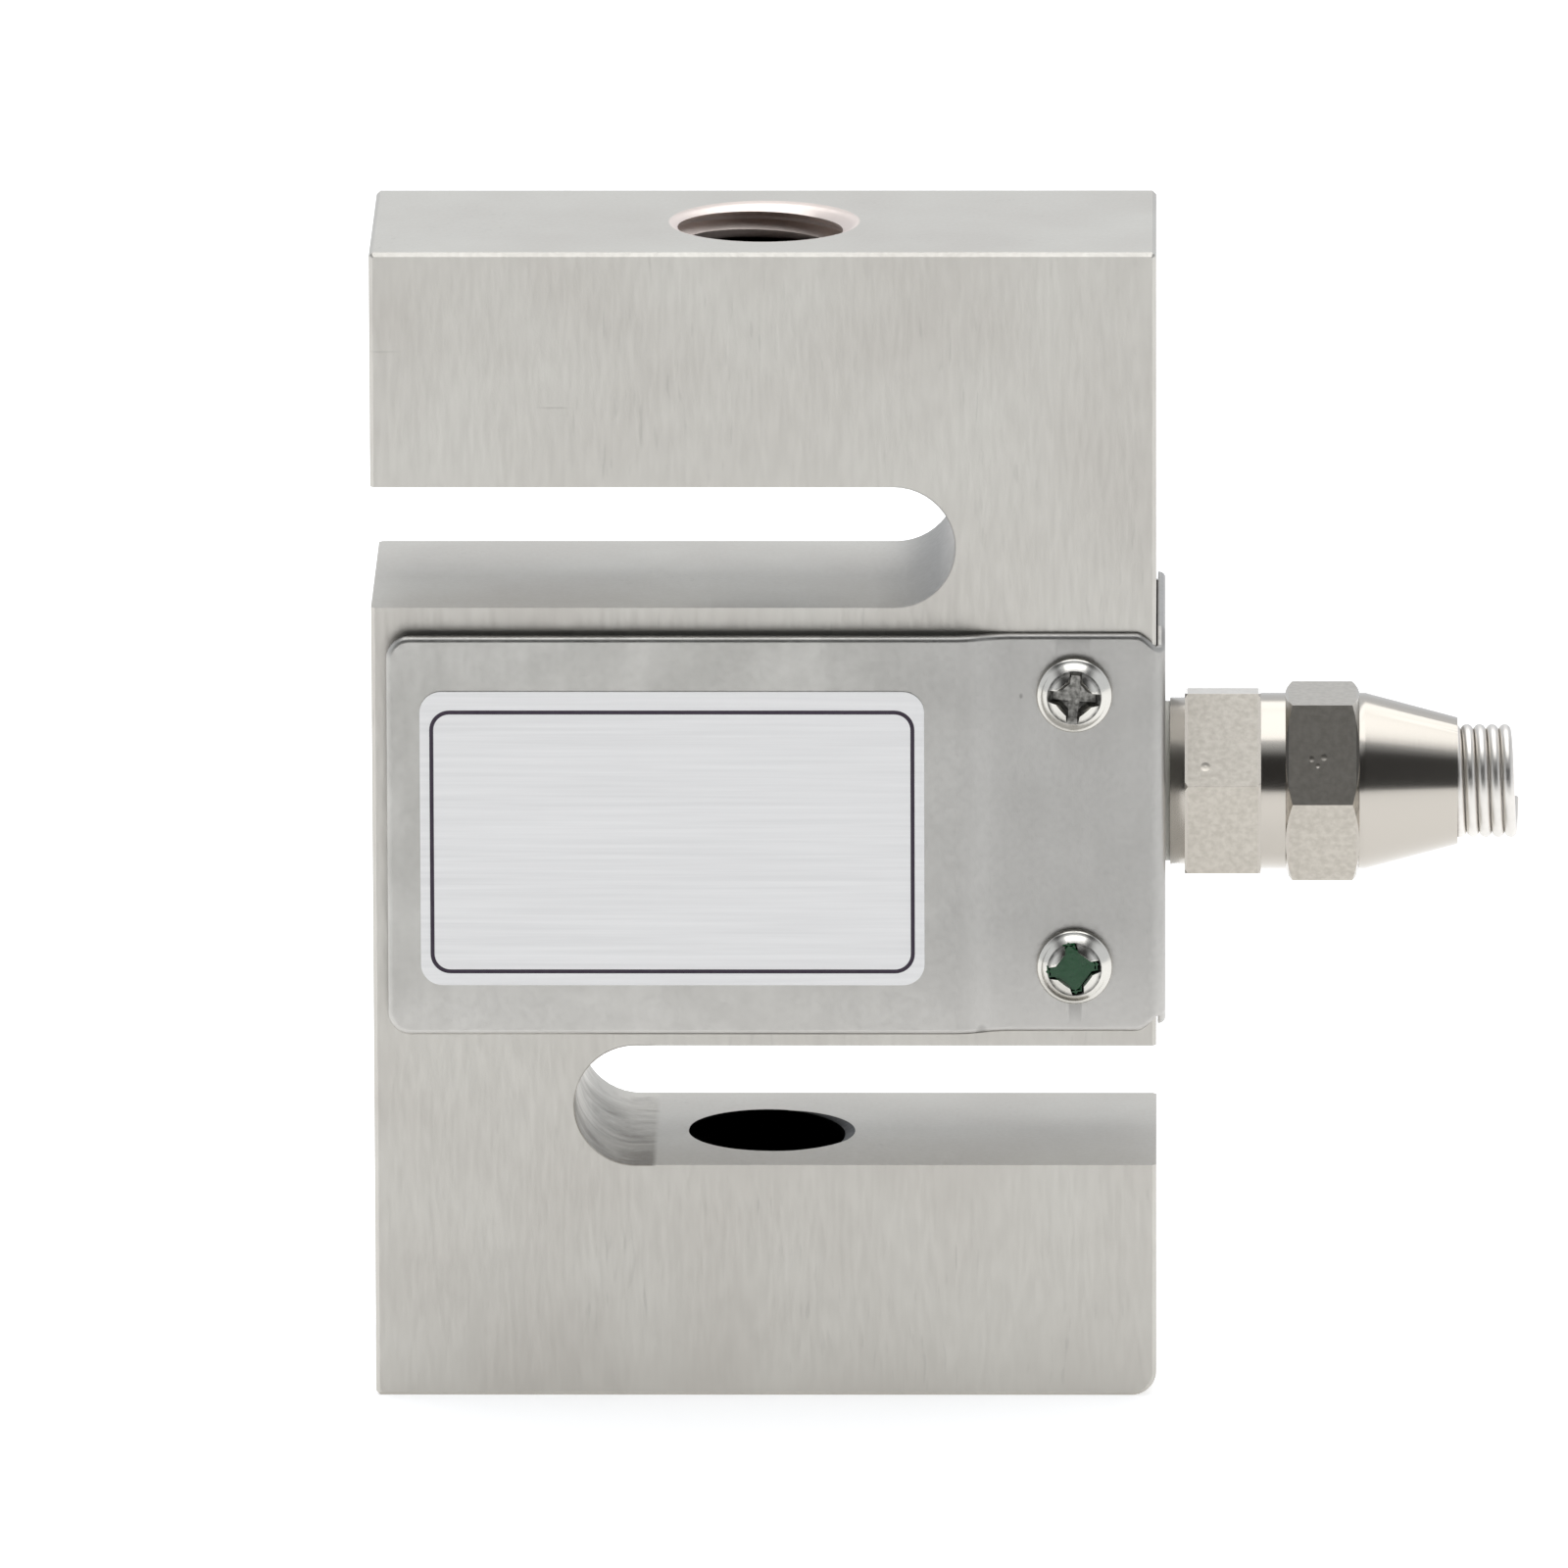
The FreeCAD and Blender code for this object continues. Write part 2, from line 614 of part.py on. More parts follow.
def strain_gauge(label, side, up):
    """Foil gauge bonded to the thin wall at the top or bottom of a cross bore."""
    body = new_body(label, "%d * cavity_offset" % side, "0", "block_middle")
    inner, outer = "cavity_radius - foil_thickness", "cavity_radius"
    low, high = "-foil_width / 2", "foil_width / 2"
    corners = [(inner, low), (outer, low), (outer, high), (inner, high)]
    sketch = outline(body, "foil_section", "XY_Plane", corners)
    feature(
        body,
        "Revolution",
        "foil",
        sketch,
        ReferenceAxis=(sketch, ["V_Axis"]),
        Angle="foil_angle",
        Midplane=True,
    )
    turn = FreeCAD.Rotation(FreeCAD.Vector(0, 1, 0), -90 * up)
    body.Placement = FreeCAD.Placement(body.Placement.Base, turn)
    return keep(body)


def gauge_lead(label, side, up):
    """Flat lead from a gauge, folded once, to the edge of the terminal board."""
    body = new_body(label)
    outer, inner = "cavity_offset + lead_thickness / 2", "cavity_offset - lead_thickness / 2"
    low, high = "lead_spread - lead_thickness / 2", "lead_spread + lead_thickness / 2"
    gauge, board = "cavity_radius - foil_thickness - 0.01", "board_width / 2"
    corners = [
        (outer, gauge),
        (outer, low),
        (board, low),
        (board, high),
        (inner, high),
        (inner, gauge),
    ]
    placed = [
        ("%d * (%s)" % (side, across), "block_middle + %d * (%s)" % (up, rise))
        for across, rise in corners
    ]
    sketch = outline(body, "lead_outline", "XZ_Plane", placed)
    feature(body, "Pad", "lead", sketch, Length="lead_width", SideType="Symmetric")
    return keep(body)


def board_piece(label, width, height, depth, front):
    """A rectangular piece of the terminal board assembly, centred on the cavity."""
    body = new_body(label, "0", front, "block_middle")
    low, high = "-%s / 2" % width, "%s / 2" % width
    bottom, top = "-%s / 2" % height, "%s / 2" % height
    corners = [(low, bottom), (high, bottom), (high, top), (low, top)]
    sketch = outline(body, "face", "XZ_Plane", corners)
    feature(body, "Pad", "slab", sketch, Length=depth, Reversed=True)
    return keep(body)


def potting(inner):
    """Silicone that fills the cavity round the gauges, leads and board."""
    block = new_body("potting_block")
    bores, bridge = cavity_sketches(block)
    feature(block, "Pad", "bridge_fill", bridge, Length="fill_depth", SideType="Symmetric")
    feature(block, "Pad", "bore_fill", bores, Length="fill_depth", SideType="Symmetric")
    parts_inside = doc.addObject("Part::MultiFuse", "embedded_parts")
    parts_inside.Shapes = inner
    fill = doc.addObject("Part::Cut", "potting_compound")
    fill.Base = block
    fill.Tool = parts_inside
    fill.Label = "potting_compound"
    doc.recompute()
    return keep(fill)


# --- cable gland ------------------------------------------------------------------------


def hex_blank(body, flats, turn, start, length):
    """The hexagon that the rest of a gland piece is turned on."""
    sketch = outline(body, "hex_outline", "YZ_Plane", hexagon(flats, turn), start)
    feature(body, "Pad", "hex_blank", sketch, Length=length)


def hex_chamfers(body, flats, start, end, face_radius, width):
    """Turned chamfers that take the sharp corners off both ends of a hexagon."""
    reach = "(%s / 2 / cos(30) + 0.5)" % flats
    corner = "(%s / 2 / cos(30))" % flats
    rise = "(%s - %s)" % (reach, face_radius)
    run = "%s * %s / (%s - %s)" % (width, rise, corner, face_radius)
    near = [(start, face_radius), ("%s + %s" % (start, run), reach), (start, reach)]
    far = [(end, face_radius), ("%s - %s" % (end, run), reach), (end, reach)]
    turned(body, "Groove", "near_chamfer", near)
    turned(body, "Groove", "far_chamfer", far)


def gland_body():
    """Hexagon body: shank in the element, collar on the cover, thread for the cap nut."""
    body = new_body("gland_body", z="gland_height")
    hex_blank(body, "gland_flats", "gland_hex_turn", "gland_hex_start", "gland_hex_length")
    face = "gland_flats / 2 / cos(30) - hex_break"
    hex_chamfers(body, "gland_flats", "gland_hex_start", "gland_hex_end", face, "hex_break")
    tip, collar = "half_width - shank_length", "cover_outside + washer_thickness"
    rear = [
        (tip, "bore_radius"),
        (tip, "shank_radius"),
        (collar, "shank_radius"),
        (collar, "neck_radius"),
        ("gland_hex_start + 0.5", "neck_radius"),
        ("gland_hex_start + 0.5", "bore_radius"),
    ]
    turned(body, "Revolution", "shank_and_collar", rear)
    front = [
        ("gland_hex_end - 0.5", "bore_radius"),
        ("gland_hex_end - 0.5", "collar_radius"),
        ("cap_start", "collar_radius"),
        ("cap_start", "male_radius"),
        ("male_end", "male_radius"),
        ("male_end", "bore_radius"),
    ]
    turned(body, "Revolution", "cap_thread", front)
    bore = [
        (tip + " - 1", "0"),
        (tip + " - 1", "bore_radius"),
        ("seal_start", "bore_radius"),
        ("seal_start", "seat_radius"),
        ("male_end + 1", "seat_radius"),
        ("male_end + 1", "0"),
    ]
    turned(body, "Groove", "cable_bore", bore)
    return keep(body)


def cap_nut():
    """Hexagon nut with a long cone that closes on the seal and holds the spring."""
    body = new_body("cap_nut", z="gland_height")
    hex_blank(body, "cap_flats", "0", "cap_start", "cap_hex_length")
    hex_chamfers(body, "cap_flats", "cap_start", "cap_hex_end", "cap_face_radius", "cap_break")
    cone = [
        ("cap_hex_end - 0.5", "0"),
        ("cap_hex_end - 0.5", "cone_start_radius"),
        ("cone_start", "cone_start_radius"),
        ("cone_end", "cone_end_radius"),
        ("cone_end", "0"),
    ]
    turned(body, "Revolution", "cone", cone)
    seat = [
        ("cap_start - 1", "0"),
        ("cap_start - 1", "cap_thread_radius"),
        ("shoulder_start", "cap_thread_radius"),
        ("shoulder_start", "outlet_radius"),
        ("shoulder_end", "outlet_radius"),
        ("shoulder_end", "seat_radius"),
        ("cone_end + 1", "seat_radius"),
        ("cone_end + 1", "0"),
    ]
    turned(body, "Groove", "stepped_bore", seat)
    return keep(body)


def square_ring(label, start, end, inner, outer):
    """A ring of rectangular section turned about the gland's axis."""
    body = new_body(label, z="gland_height")
    corners = [(start, inner), (start, outer), (end, outer), (end, inner)]
    turned(body, "Revolution", "ring", corners)
    return keep(body)


def gland_rings():
    """Sealing washer under the collar, rubber cable seal and the thrust ring behind it."""
    collar = "cover_outside + washer_thickness"
    square_ring("sealing_washer", "cover_outside", collar, "port_radius", "washer_radius")
    square_ring("cable_seal", "seal_start", "seal_end", "bore_radius", "seal_radius")
    square_ring("thrust_ring", "seal_end", "shoulder_start", "outlet_radius", "male_radius")


def relief_spring():
    """Close-wound strain-relief spring seated in the mouth of the cap nut."""
    start = "shoulder_end + wire_radius"
    body = new_body("relief_spring", start, "0", "gland_height")
    corners = [
        ("wire_radius", "coil_radius"),
        ("0", "coil_radius + wire_radius"),
        ("-wire_radius", "coil_radius"),
        ("0", "coil_radius - wire_radius"),
    ]
    section = outline(body, "wire_section", "XZ_Plane", corners)
    coil = body.newObject("PartDesign::AdditiveHelix", "coil")
    coil.Profile = section
    coil.ReferenceAxis = (section, ["H_Axis"])
    coil.Mode = "pitch-turns-angle"
    coil.setExpression("Pitch", linked("coil_pitch"))
    coil.setExpression("Turns", linked("coil_turns"))
    doc.recompute()
    return keep(body)


# --- assembly ---------------------------------------------------------------------------


def build():
    """Make every piece in the order that the bench would."""
    fill_sheet()
    spring_element()
    wrap_cover()
    cover_seal("front_cover_seal", -1)
    cover_seal("rear_cover_seal", 1)
    nameplate()
    turns = {"front_upper": 4.5, "front_lower": -8.5, "rear_upper": 20, "rear_lower": -35}
    for place, turn in turns.items():
        side = -1 if place.startswith("front") else 1
        sign = "+" if place.endswith("upper") else "-"
        cover_screw(place + "_screw", side, sign, turn)
    tamper_seal(-1, "-", turns["front_lower"])
    inner = []
    for side, across in ((-1, "left"), (1, "right")):
        for up, high in ((1, "upper"), (-1, "lower")):
            inner.append(strain_gauge("%s_%s_gauge" % (high, across), side, up))
            inner.append(gauge_lead("%s_%s_lead" % (high, across), side, up))
    half_board = "-board_thickness / 2"
    inner.append(
        board_piece("terminal_board", "board_width", "board_height", "board_thickness", half_board)
    )
    chip_face = "-board_thickness / 2 - resistor_depth"
    inner.append(
        board_piece("trim_resistor", "resistor_width", "resistor_height", "resistor_depth", chip_face)
    )
    potting(inner)
    gland_body()
    cap_nut()
    gland_rings()
    relief_spring()


def check_and_write():
    """Refuse any failed object or bad shape, then write one STEP file per piece."""
    doc.recompute()
    for item in doc.Objects:
        bad = [word for word in item.State if word in ("Invalid", "Error")]
        assert not bad, "%s is %s" % (item.Label, bad)
    for piece in pieces:
        shape = piece.Shape
        assert not shape.isNull() and shape.isValid(), piece.Label + " has a bad shape"
        assert shape.Volume > 0, piece.Label + " has no volume"
    os.makedirs("parts", exist_ok=True)
    for piece in pieces:
        piece.Shape.exportStep("parts/%s.step" % piece.Label)
        solids = len(piece.Shape.Solids)
        print("%-20s %2d solid %10.3f mm3" % (piece.Label, solids, piece.Shape.Volume))


build()
check_and_write()
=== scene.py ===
import math

import bpy
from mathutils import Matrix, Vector


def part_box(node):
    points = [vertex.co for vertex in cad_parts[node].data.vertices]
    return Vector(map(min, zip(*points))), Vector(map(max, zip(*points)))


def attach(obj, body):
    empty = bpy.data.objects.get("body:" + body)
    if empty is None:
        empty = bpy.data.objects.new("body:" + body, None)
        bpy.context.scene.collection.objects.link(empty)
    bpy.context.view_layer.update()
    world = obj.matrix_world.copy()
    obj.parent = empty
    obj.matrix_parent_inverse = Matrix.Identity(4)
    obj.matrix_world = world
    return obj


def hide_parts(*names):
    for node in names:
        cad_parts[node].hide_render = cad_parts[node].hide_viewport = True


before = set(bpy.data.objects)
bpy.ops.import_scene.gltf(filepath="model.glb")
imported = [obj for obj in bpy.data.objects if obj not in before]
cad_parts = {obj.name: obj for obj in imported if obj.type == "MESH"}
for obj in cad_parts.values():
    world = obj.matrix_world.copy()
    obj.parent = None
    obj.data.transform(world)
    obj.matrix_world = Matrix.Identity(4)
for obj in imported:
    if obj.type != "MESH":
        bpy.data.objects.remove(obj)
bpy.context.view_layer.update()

# S type load cell: a nickel-plated steel S, its bent sheet cover, a bare nameplate,
# four pan-head screws and a cable gland with its strain-relief spring.
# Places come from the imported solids; the maker's own lengths are in millimetres.

MM = 0.001
ROUND = 96
STEPS_PER_TURN = 64
SMOOTH = math.radians(32)

element_low, element_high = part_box("spring_element")
cover_low, cover_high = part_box("wrap_cover")
cap_low, cap_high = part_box("cap_nut")
GLAND_Z = (cap_low.z + cap_high.z) / 2
COVER_Z = (cover_low.z + cover_high.z) / 2

# Spring element: the arms' height, the slots' round ends, the wall past them, the M12 thread.
ARM = 15.5 * MM
SLOT_RADIUS = 4.0 * MM
SLOT_WALL = 13.0 * MM
TAP_DRILL = 5.1 * MM
THREAD_MAJOR = 6.0 * MM
THREAD_PITCH = 1.75 * MM

# Cover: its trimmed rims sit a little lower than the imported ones; PAN_END to FLANGE_START is
# the slope between the raised part over the seal and the lower part under the screws; the
# rims get RIM_CUTS extra points before they are drawn in at the bends.
COVER_TOP = cover_high.z - 0.1 * MM
COVER_BOTTOM = cover_low.z - 0.45 * MM
SHEET = 0.5 * MM
BEND = 1.1 * MM
STEP = 0.9 * MM
STEP_BEND = 0.8 * MM
PAN_END = 13.1 * MM
FLANGE_START = 15.3 * MM
COVER_CORNER = 1.5 * MM
RIM_ROLL = 0.4 * MM
RIM_PULL = 0.95 * MM
RIM_CUTS = 47
GLAND_PORT = 4.2 * MM
SCREW_HOLE = 1.45 * MM

# Screws: the head's height, and how far in degrees the lower front one was turned.
HEAD = 1.8 * MM
LOWER_SCREW_TURN = 8.5

# Gland: both hexagons' flats, how far in degrees its body's one is turned, the collar, which
# is as wide as the cone's start, the seats in the bores, the broken edges and the spring.
HEX_FLATS = 11.7 * MM
GLAND_TURN = -10.2
COLLAR_RADIUS = 5.75 * MM
SEAT_RADIUS = 3.75 * MM
GLAND_BREAK = 0.16 * MM
WIRE_RADIUS = 0.4 * MM
WIRE_PITCH = 0.82 * MM


# --- hands: adding, picking and shaping ---------------------------------------------------


def alone(piece=None):
    """Leaves object mode with just this piece selected, or nothing."""
    if bpy.context.mode != "OBJECT":
        bpy.ops.object.mode_set(mode="OBJECT")
    bpy.ops.object.select_all(action="DESELECT")
    if piece:
        piece.select_set(True)
        bpy.context.view_layer.objects.active = piece
    return piece


def add(primitive, name, stretch=(1, 1, 1), turn=(0, 0, 0), place=(0, 0, 0), **settings):
    """Adds one primitive, stretches, turns and places it, all kept in its mesh."""
    alone()
    primitive(**settings)
    piece = bpy.context.object
    piece.name = name
    piece.scale = stretch
    return settle(piece, place, turn)


def settle(piece, place=(0, 0, 0), turn=(0, 0, 0)):
    """Turns a piece about the origin and sets it down, both kept in its mesh."""
    alone(piece)
    piece.rotation_euler = turn
    piece.location = place
    bpy.ops.object.transform_apply(location=True, rotation=True, scale=True)
    return piece


def copy_of(solid, name):
    """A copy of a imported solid's mesh, its loose triangles joined into flat faces."""
    piece = bpy.data.objects.new(name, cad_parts[solid].data.copy())
    bpy.context.scene.collection.objects.link(piece)
    alone(piece)
    bpy.ops.mesh.customdata_custom_splitnormals_clear()
    bpy.ops.object.mode_set(mode="EDIT")
    bpy.ops.mesh.select_all(action="SELECT")
    bpy.ops.mesh.remove_doubles(threshold=0.0005 * MM)
    bpy.ops.mesh.dissolve_limited(angle_limit=math.radians(0.5))
    bpy.ops.object.mode_set(mode="OBJECT")
    return piece


def twin(piece, name):
    """A second piece with a mesh of its own."""
    other = piece.copy()
    other.data = piece.data.copy()
    other.name = name
    bpy.context.scene.collection.objects.link(other)
    return other


def pick(piece, kind, test):
    """Selects the vertices, edges or faces that pass a test on their corner points."""
    alone(piece)
    bpy.ops.object.mode_set(mode="EDIT")
    bpy.ops.mesh.select_mode(type=kind)
    bpy.ops.mesh.select_all(action="DESELECT")
    bpy.ops.object.mode_set(mode="OBJECT")
    mesh = piece.data
    points = [vertex.co for vertex in mesh.vertices]
    if kind == "VERT":
        for vertex in mesh.vertices:
            vertex.select = test([vertex.co])
    for item in {"EDGE": mesh.edges, "FACE": mesh.polygons}.get(kind, []):
        item.select = test([points[i] for i in item.vertices])
    bpy.ops.object.mode_set(mode="EDIT")


def modify(piece, kind, **settings):
    """Adds one modifier and applies it."""
    alone(piece)
    modifier = piece.modifiers.new(kind.lower(), kind)
    for key, setting in settings.items():
        setattr(modifier, key, setting)
    bpy.ops.object.modifier_apply(modifier=modifier.name)
    return piece


def combine(piece, tool, how):
    """Cuts, joins or trims a piece with another one, which is used up."""
    modify(piece, "BOOLEAN", object=tool, operation=how, solver="EXACT")
    bpy.data.objects.remove(tool)
    return piece


def round_edges(piece, width, segments=2, angle=30):
    """Breaks every edge sharper than an angle."""
    limit = math.radians(angle)
    return modify(
        piece, "BEVEL", width=width, segments=segments, limit_method="ANGLE", angle_limit=limit
    )


def face_outwards(piece):
    """Joins doubled points and turns all faces outwards."""
    alone(piece)
    bpy.ops.object.mode_set(mode="EDIT")
    bpy.ops.mesh.select_all(action="SELECT")
    bpy.ops.mesh.remove_doubles(threshold=0.0005 * MM)
    bpy.ops.mesh.normals_make_consistent(inside=False)
    bpy.ops.object.mode_set(mode="OBJECT")
    return piece


def cap_ends(piece):
    """Closes the open ends of a swept piece."""
    alone(piece)
    bpy.ops.object.mode_set(mode="EDIT")
    bpy.ops.mesh.select_mode(type="EDGE")
    bpy.ops.mesh.select_all(action="DESELECT")
    bpy.ops.mesh.select_non_manifold()
    bpy.ops.mesh.edge_face_add()
    return face_outwards(piece)


def lathe(name, start, steps, vertices=ROUND):
    """Turns a piece about X: a disc pulled along its axis, step after step."""
    x, radius = start
    piece = add(
        bpy.ops.mesh.primitive_circle_add,
        name,
        turn=(0, math.pi / 2, 0),
        place=(x, 0, 0),
        vertices=vertices,
        radius=radius,
        fill_type="NGON",
    )
    bpy.ops.object.mode_set(mode="EDIT")
    bpy.ops.mesh.select_mode(type="FACE")
    bpy.ops.mesh.select_all(action="SELECT")
    for next_x, next_radius in steps:
        bpy.ops.mesh.extrude_region_move(TRANSFORM_OT_translate={"value": (next_x - x, 0, 0)})
        share = next_radius / radius
        bpy.ops.transform.resize(value=(1, share, share), center_override=(next_x, 0, 0))
        x, radius = next_x, next_radius
    return face_outwards(piece)


def fit(piece, body_slot, material, *solids, smooth=SMOOTH):
    """Shades and dresses a finished piece, lets it ride and stands it for its solids."""
    alone(piece)
    bpy.ops.object.shade_smooth_by_angle(angle=smooth)
    modify(piece, "WEIGHTED_NORMAL", keep_sharp=True, weight=100)
    piece.data.materials.clear()
    piece.data.materials.append(material)
    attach(piece, "root")
    if solids:
        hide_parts(*solids)
    return piece


# --- materials ------------------------------------------------------------------------------


def colour(code):
    """An sRGB hex colour as linear red, green, blue and alpha."""
    parts = [int(code[i : i + 2], 16) / 255 for i in (1, 3, 5)]
    linear = [c / 12.92 if c <= 0.04045 else ((c + 0.055) / 1.055) ** 2.4 for c in parts]
    return (*linear, 1)


def node(tree, kind, settings=None, links=None):
    """Adds a shader node, sets its properties and sockets, and links its inputs.

    A number names the socket at that place: on a Map Range 1 and 2 are the span read and 3
    and 4 the span given, on a Mix 0 is the share and 6 and 7 the two colours.
    """
    new = tree.nodes.new(kind)
    for key, setting in (settings or {}).items():
        if isinstance(key, int) or key in new.inputs:
            new.inputs[key].default_value = setting
        else:
            setattr(new, key, setting)
    for key, source in (links or {}).items():
        socket = source.outputs[0] if isinstance(source, bpy.types.Node) else source
        tree.links.new(socket, new.inputs[key])
    return new


def new_material(name):
    """An empty node material with its object coordinates."""
    material = bpy.data.materials.new(name)
    material.use_nodes = True
    tree = material.node_tree
    tree.nodes.clear()
    return material, tree, node(tree, "ShaderNodeTexCoord").outputs["Object"]


def finish_with(tree, settings, links):
    """Ends a material in its shader."""
    shader = node(tree, "ShaderNodeBsdfPrincipled", settings, links)
    node(tree, "ShaderNodeOutputMaterial", links={"Surface": shader})


def spot(tree, place, centre, reach):
    """Share that is 1 at a spot's centre and falls to 0 at its reach each way, in mm."""
    scale = [1 / (length * MM) for length in reach]
    shift = [-middle * MM * factor for middle, factor in zip(centre, scale)]
    near = node(tree, "ShaderNodeMapping", {"Location": shift, "Scale": scale}, {0: place})
    away = node(tree, "ShaderNodeVectorMath", {"operation": "LENGTH"}, {0: near})
    return node(tree, "ShaderNodeMapRange", {1: 1.0, 2: 0.4}, {0: away.outputs["Value"]})


def spots(tree, place, marks):
    """Share that is 1 in any of several spots."""
    share = spot(tree, place, *marks[0])
    for centre, reach in marks[1:]:
        another = spot(tree, place, centre, reach)
        share = node(tree, "ShaderNodeMath", {"operation": "MAXIMUM"}, {0: share, 1: another})
    return share


def nickel_on_milled_steel():
    # Electroless nickel over milled alloy steel: a warm, even satin grey with faint clouds
    # and small upright nicks, with painted shade darker towards its foot and round the slots'
    # round ends, in ragged streaks at the lower one; in the upper thread a rosy painted
    # highlight over painted shade in brown, and the lower thread painted black as shade. The
    # milling grain, truly about 0.05 mm wide, is drawn at 0.3 mm so that it shows.
    material, tree, place = new_material("satin_nickel_on_milled_steel")
    cloud = node(tree, "ShaderNodeTexNoise", {"Scale": 1 / (11 * MM), "Detail": 3}, {0: place})
    tone = node(
        tree,
        "ShaderNodeMix",
        {"data_type": "RGBA", 6: colour("#C5C1BA"), 7: colour("#CCC9C2")},
        {0: node(tree, "ShaderNodeMapRange", {1: 0.35, 2: 0.65}, {0: cloud})},
    ).outputs[2]
    height = node(tree, "ShaderNodeSeparateXYZ", links={0: place}).outputs["Z"]
    # painted shade: the element a little darker towards its foot
    foot = node(tree, "ShaderNodeMapRange", {1: 45 * MM, 2: 22 * MM, 4: 0.1}, {0: height})
    tone = node(
        tree, "ShaderNodeMix", {"data_type": "RGBA", 7: colour("#BBB7AF")}, {0: foot, 6: tone}
    ).outputs[2]
    upright = node(tree, "ShaderNodeMapping", {"Scale": (1, 1, 0.15)}, {0: place})
    nicks = steel_nicks(tree, place, upright)
    share = node(tree, "ShaderNodeMath", {"operation": "MULTIPLY", 1: 0.2}, {0: nicks})
    tone = node(
        tree, "ShaderNodeMix", {"data_type": "RGBA", 7: colour("#9C9A95")}, {0: share, 6: tone}
    ).outputs[2]
    tone = lower_slot_shade_streaks(tree, place, tone)
    tone = upper_slot_end_shade(tree, place, tone)
    tone = thread_highlight_and_shade(tree, place, tone)
    grain = node(
        tree, "ShaderNodeTexNoise", {"Scale": 1 / (0.3 * MM), "Detail": 2}, {0: upright}
    )
    rough = node(tree, "ShaderNodeMapRange", {1: 0.3, 2: 0.7, 3: 0.38, 4: 0.46}, {0: grain})
    dent = node(
        tree, "ShaderNodeMath", {"operation": "MULTIPLY_ADD", 1: -1.0}, {0: nicks, 2: grain}
    )
    bump = node(
        tree, "ShaderNodeBump", {"Strength": 0.2, "Distance": 0.01 * MM}, {"Height": dent}
    )
    links = {"Base Color": tone, "Roughness": rough, "Normal": bump}
    finish_with(tree, {"Metallic": 1.0}, links)
    return material


def steel_nicks(tree, place, upright):
    """Short upright nicks in patches, a scratch by the left edge and a faint bent one.

    The nicks are drawn 0.35 mm wide, coarser than real ones, so that they show.
    """
    scratches = node(
        tree, "ShaderNodeTexNoise", {"Scale": 1 / (0.35 * MM), "Detail": 1}, {0: upright}
    )
    patches = node(tree, "ShaderNodeTexNoise", {"Scale": 1 / (7 * MM), "Detail": 1}, {0: place})
    thin = node(tree, "ShaderNodeMapRange", {1: 0.64, 2: 0.74}, {0: scratches})
    some = node(tree, "ShaderNodeMapRange", {1: 0.52, 2: 0.64}, {0: patches})
    nicks = node(tree, "ShaderNodeMath", {"operation": "MULTIPLY"}, {0: thin, 1: some})
    front = element_low.y / MM
    scratch = ((-24.5, front, 69.7), (1.3, 1, 0.09))
    level_mark = ((-13.5, front, 66.0), (1.4, 1, 0.1))
    upright_mark = ((-12.2, front, 65.1), (0.1, 1, 1.1))
    lone = spots(tree, place, [scratch, level_mark, upright_mark])
    return node(tree, "ShaderNodeMath", {"operation": "MAXIMUM"}, {0: nicks, 1: lone})


def slot_distance(tree, place, side, level):
    """Distance along a slot past its round end's centre, and the share that is its wall."""
    reach = element_high.x - SLOT_WALL - SLOT_RADIUS
    centred = node(
        tree,
        "ShaderNodeMapping",
        {"Location": (-side * reach, 0, -level), "Scale": (1, 0, 1)},
        {0: place},
    )
    ahead = node(tree, "ShaderNodeMapping", {"Scale": (side, 1, 1)}, {0: centred})
    past = node(
        tree, "ShaderNodeVectorMath", {"operation": "MAXIMUM", 1: (0, -1, -1)}, {0: ahead}
    )
    away = node(tree, "ShaderNodeVectorMath", {"operation": "LENGTH"}, {0: past})
    wall = node(
        tree,
        "ShaderNodeMapRange",
        {1: SLOT_RADIUS + 0.1 * MM, 2: SLOT_RADIUS + 0.02 * MM},
        {0: away.outputs["Value"]},
    )
    along = node(tree, "ShaderNodeSeparateXYZ", links={0: ahead})
    return along.outputs["X"], wall


def lower_slot_shade_streaks(tree, place, tone):
    """Painted shade round the lower slot's end in ragged streaks, darker in front, lighter behind.
    """
    along, wall = slot_distance(tree, place, -1, ARM + SLOT_RADIUS)
    stop = node(tree, "ShaderNodeMapRange", {1: -1.35 * MM, 2: -1.0 * MM}, {0: along})
    zone = node(tree, "ShaderNodeMath", {"operation": "MULTIPLY"}, {0: wall, 1: stop})
    round_way = node(tree, "ShaderNodeMapping", {"Scale": (0.35, 1, 0.35)}, {0: place})
    ragged = {"Scale": 1 / (2.6 * MM), "Detail": 6, "Roughness": 0.62, "Distortion": 0.7}
    streaks = node(tree, "ShaderNodeTexNoise", ragged, {0: round_way})
    # painted shade: darker in front, lighter towards the back
    depth = node(tree, "ShaderNodeSeparateXYZ", links={0: place}).outputs["Y"]
    lighter = node(
        tree,
        "ShaderNodeMath",
        {"operation": "MULTIPLY_ADD", 1: 0.016 / MM},
        {0: depth, 2: streaks},
    )
    shade_streak_tone = node(
        tree,
        "ShaderNodeMix",
        {"data_type": "RGBA", 6: colour("#857F76"), 7: colour("#CCC8C0")},
        {0: node(tree, "ShaderNodeMapRange", {1: 0.3, 2: 0.7}, {0: lighter})},
    ).outputs[2]
    return node(
        tree, "ShaderNodeMix", {"data_type": "RGBA"}, {0: zone, 6: tone, 7: shade_streak_tone}
    ).outputs[2]


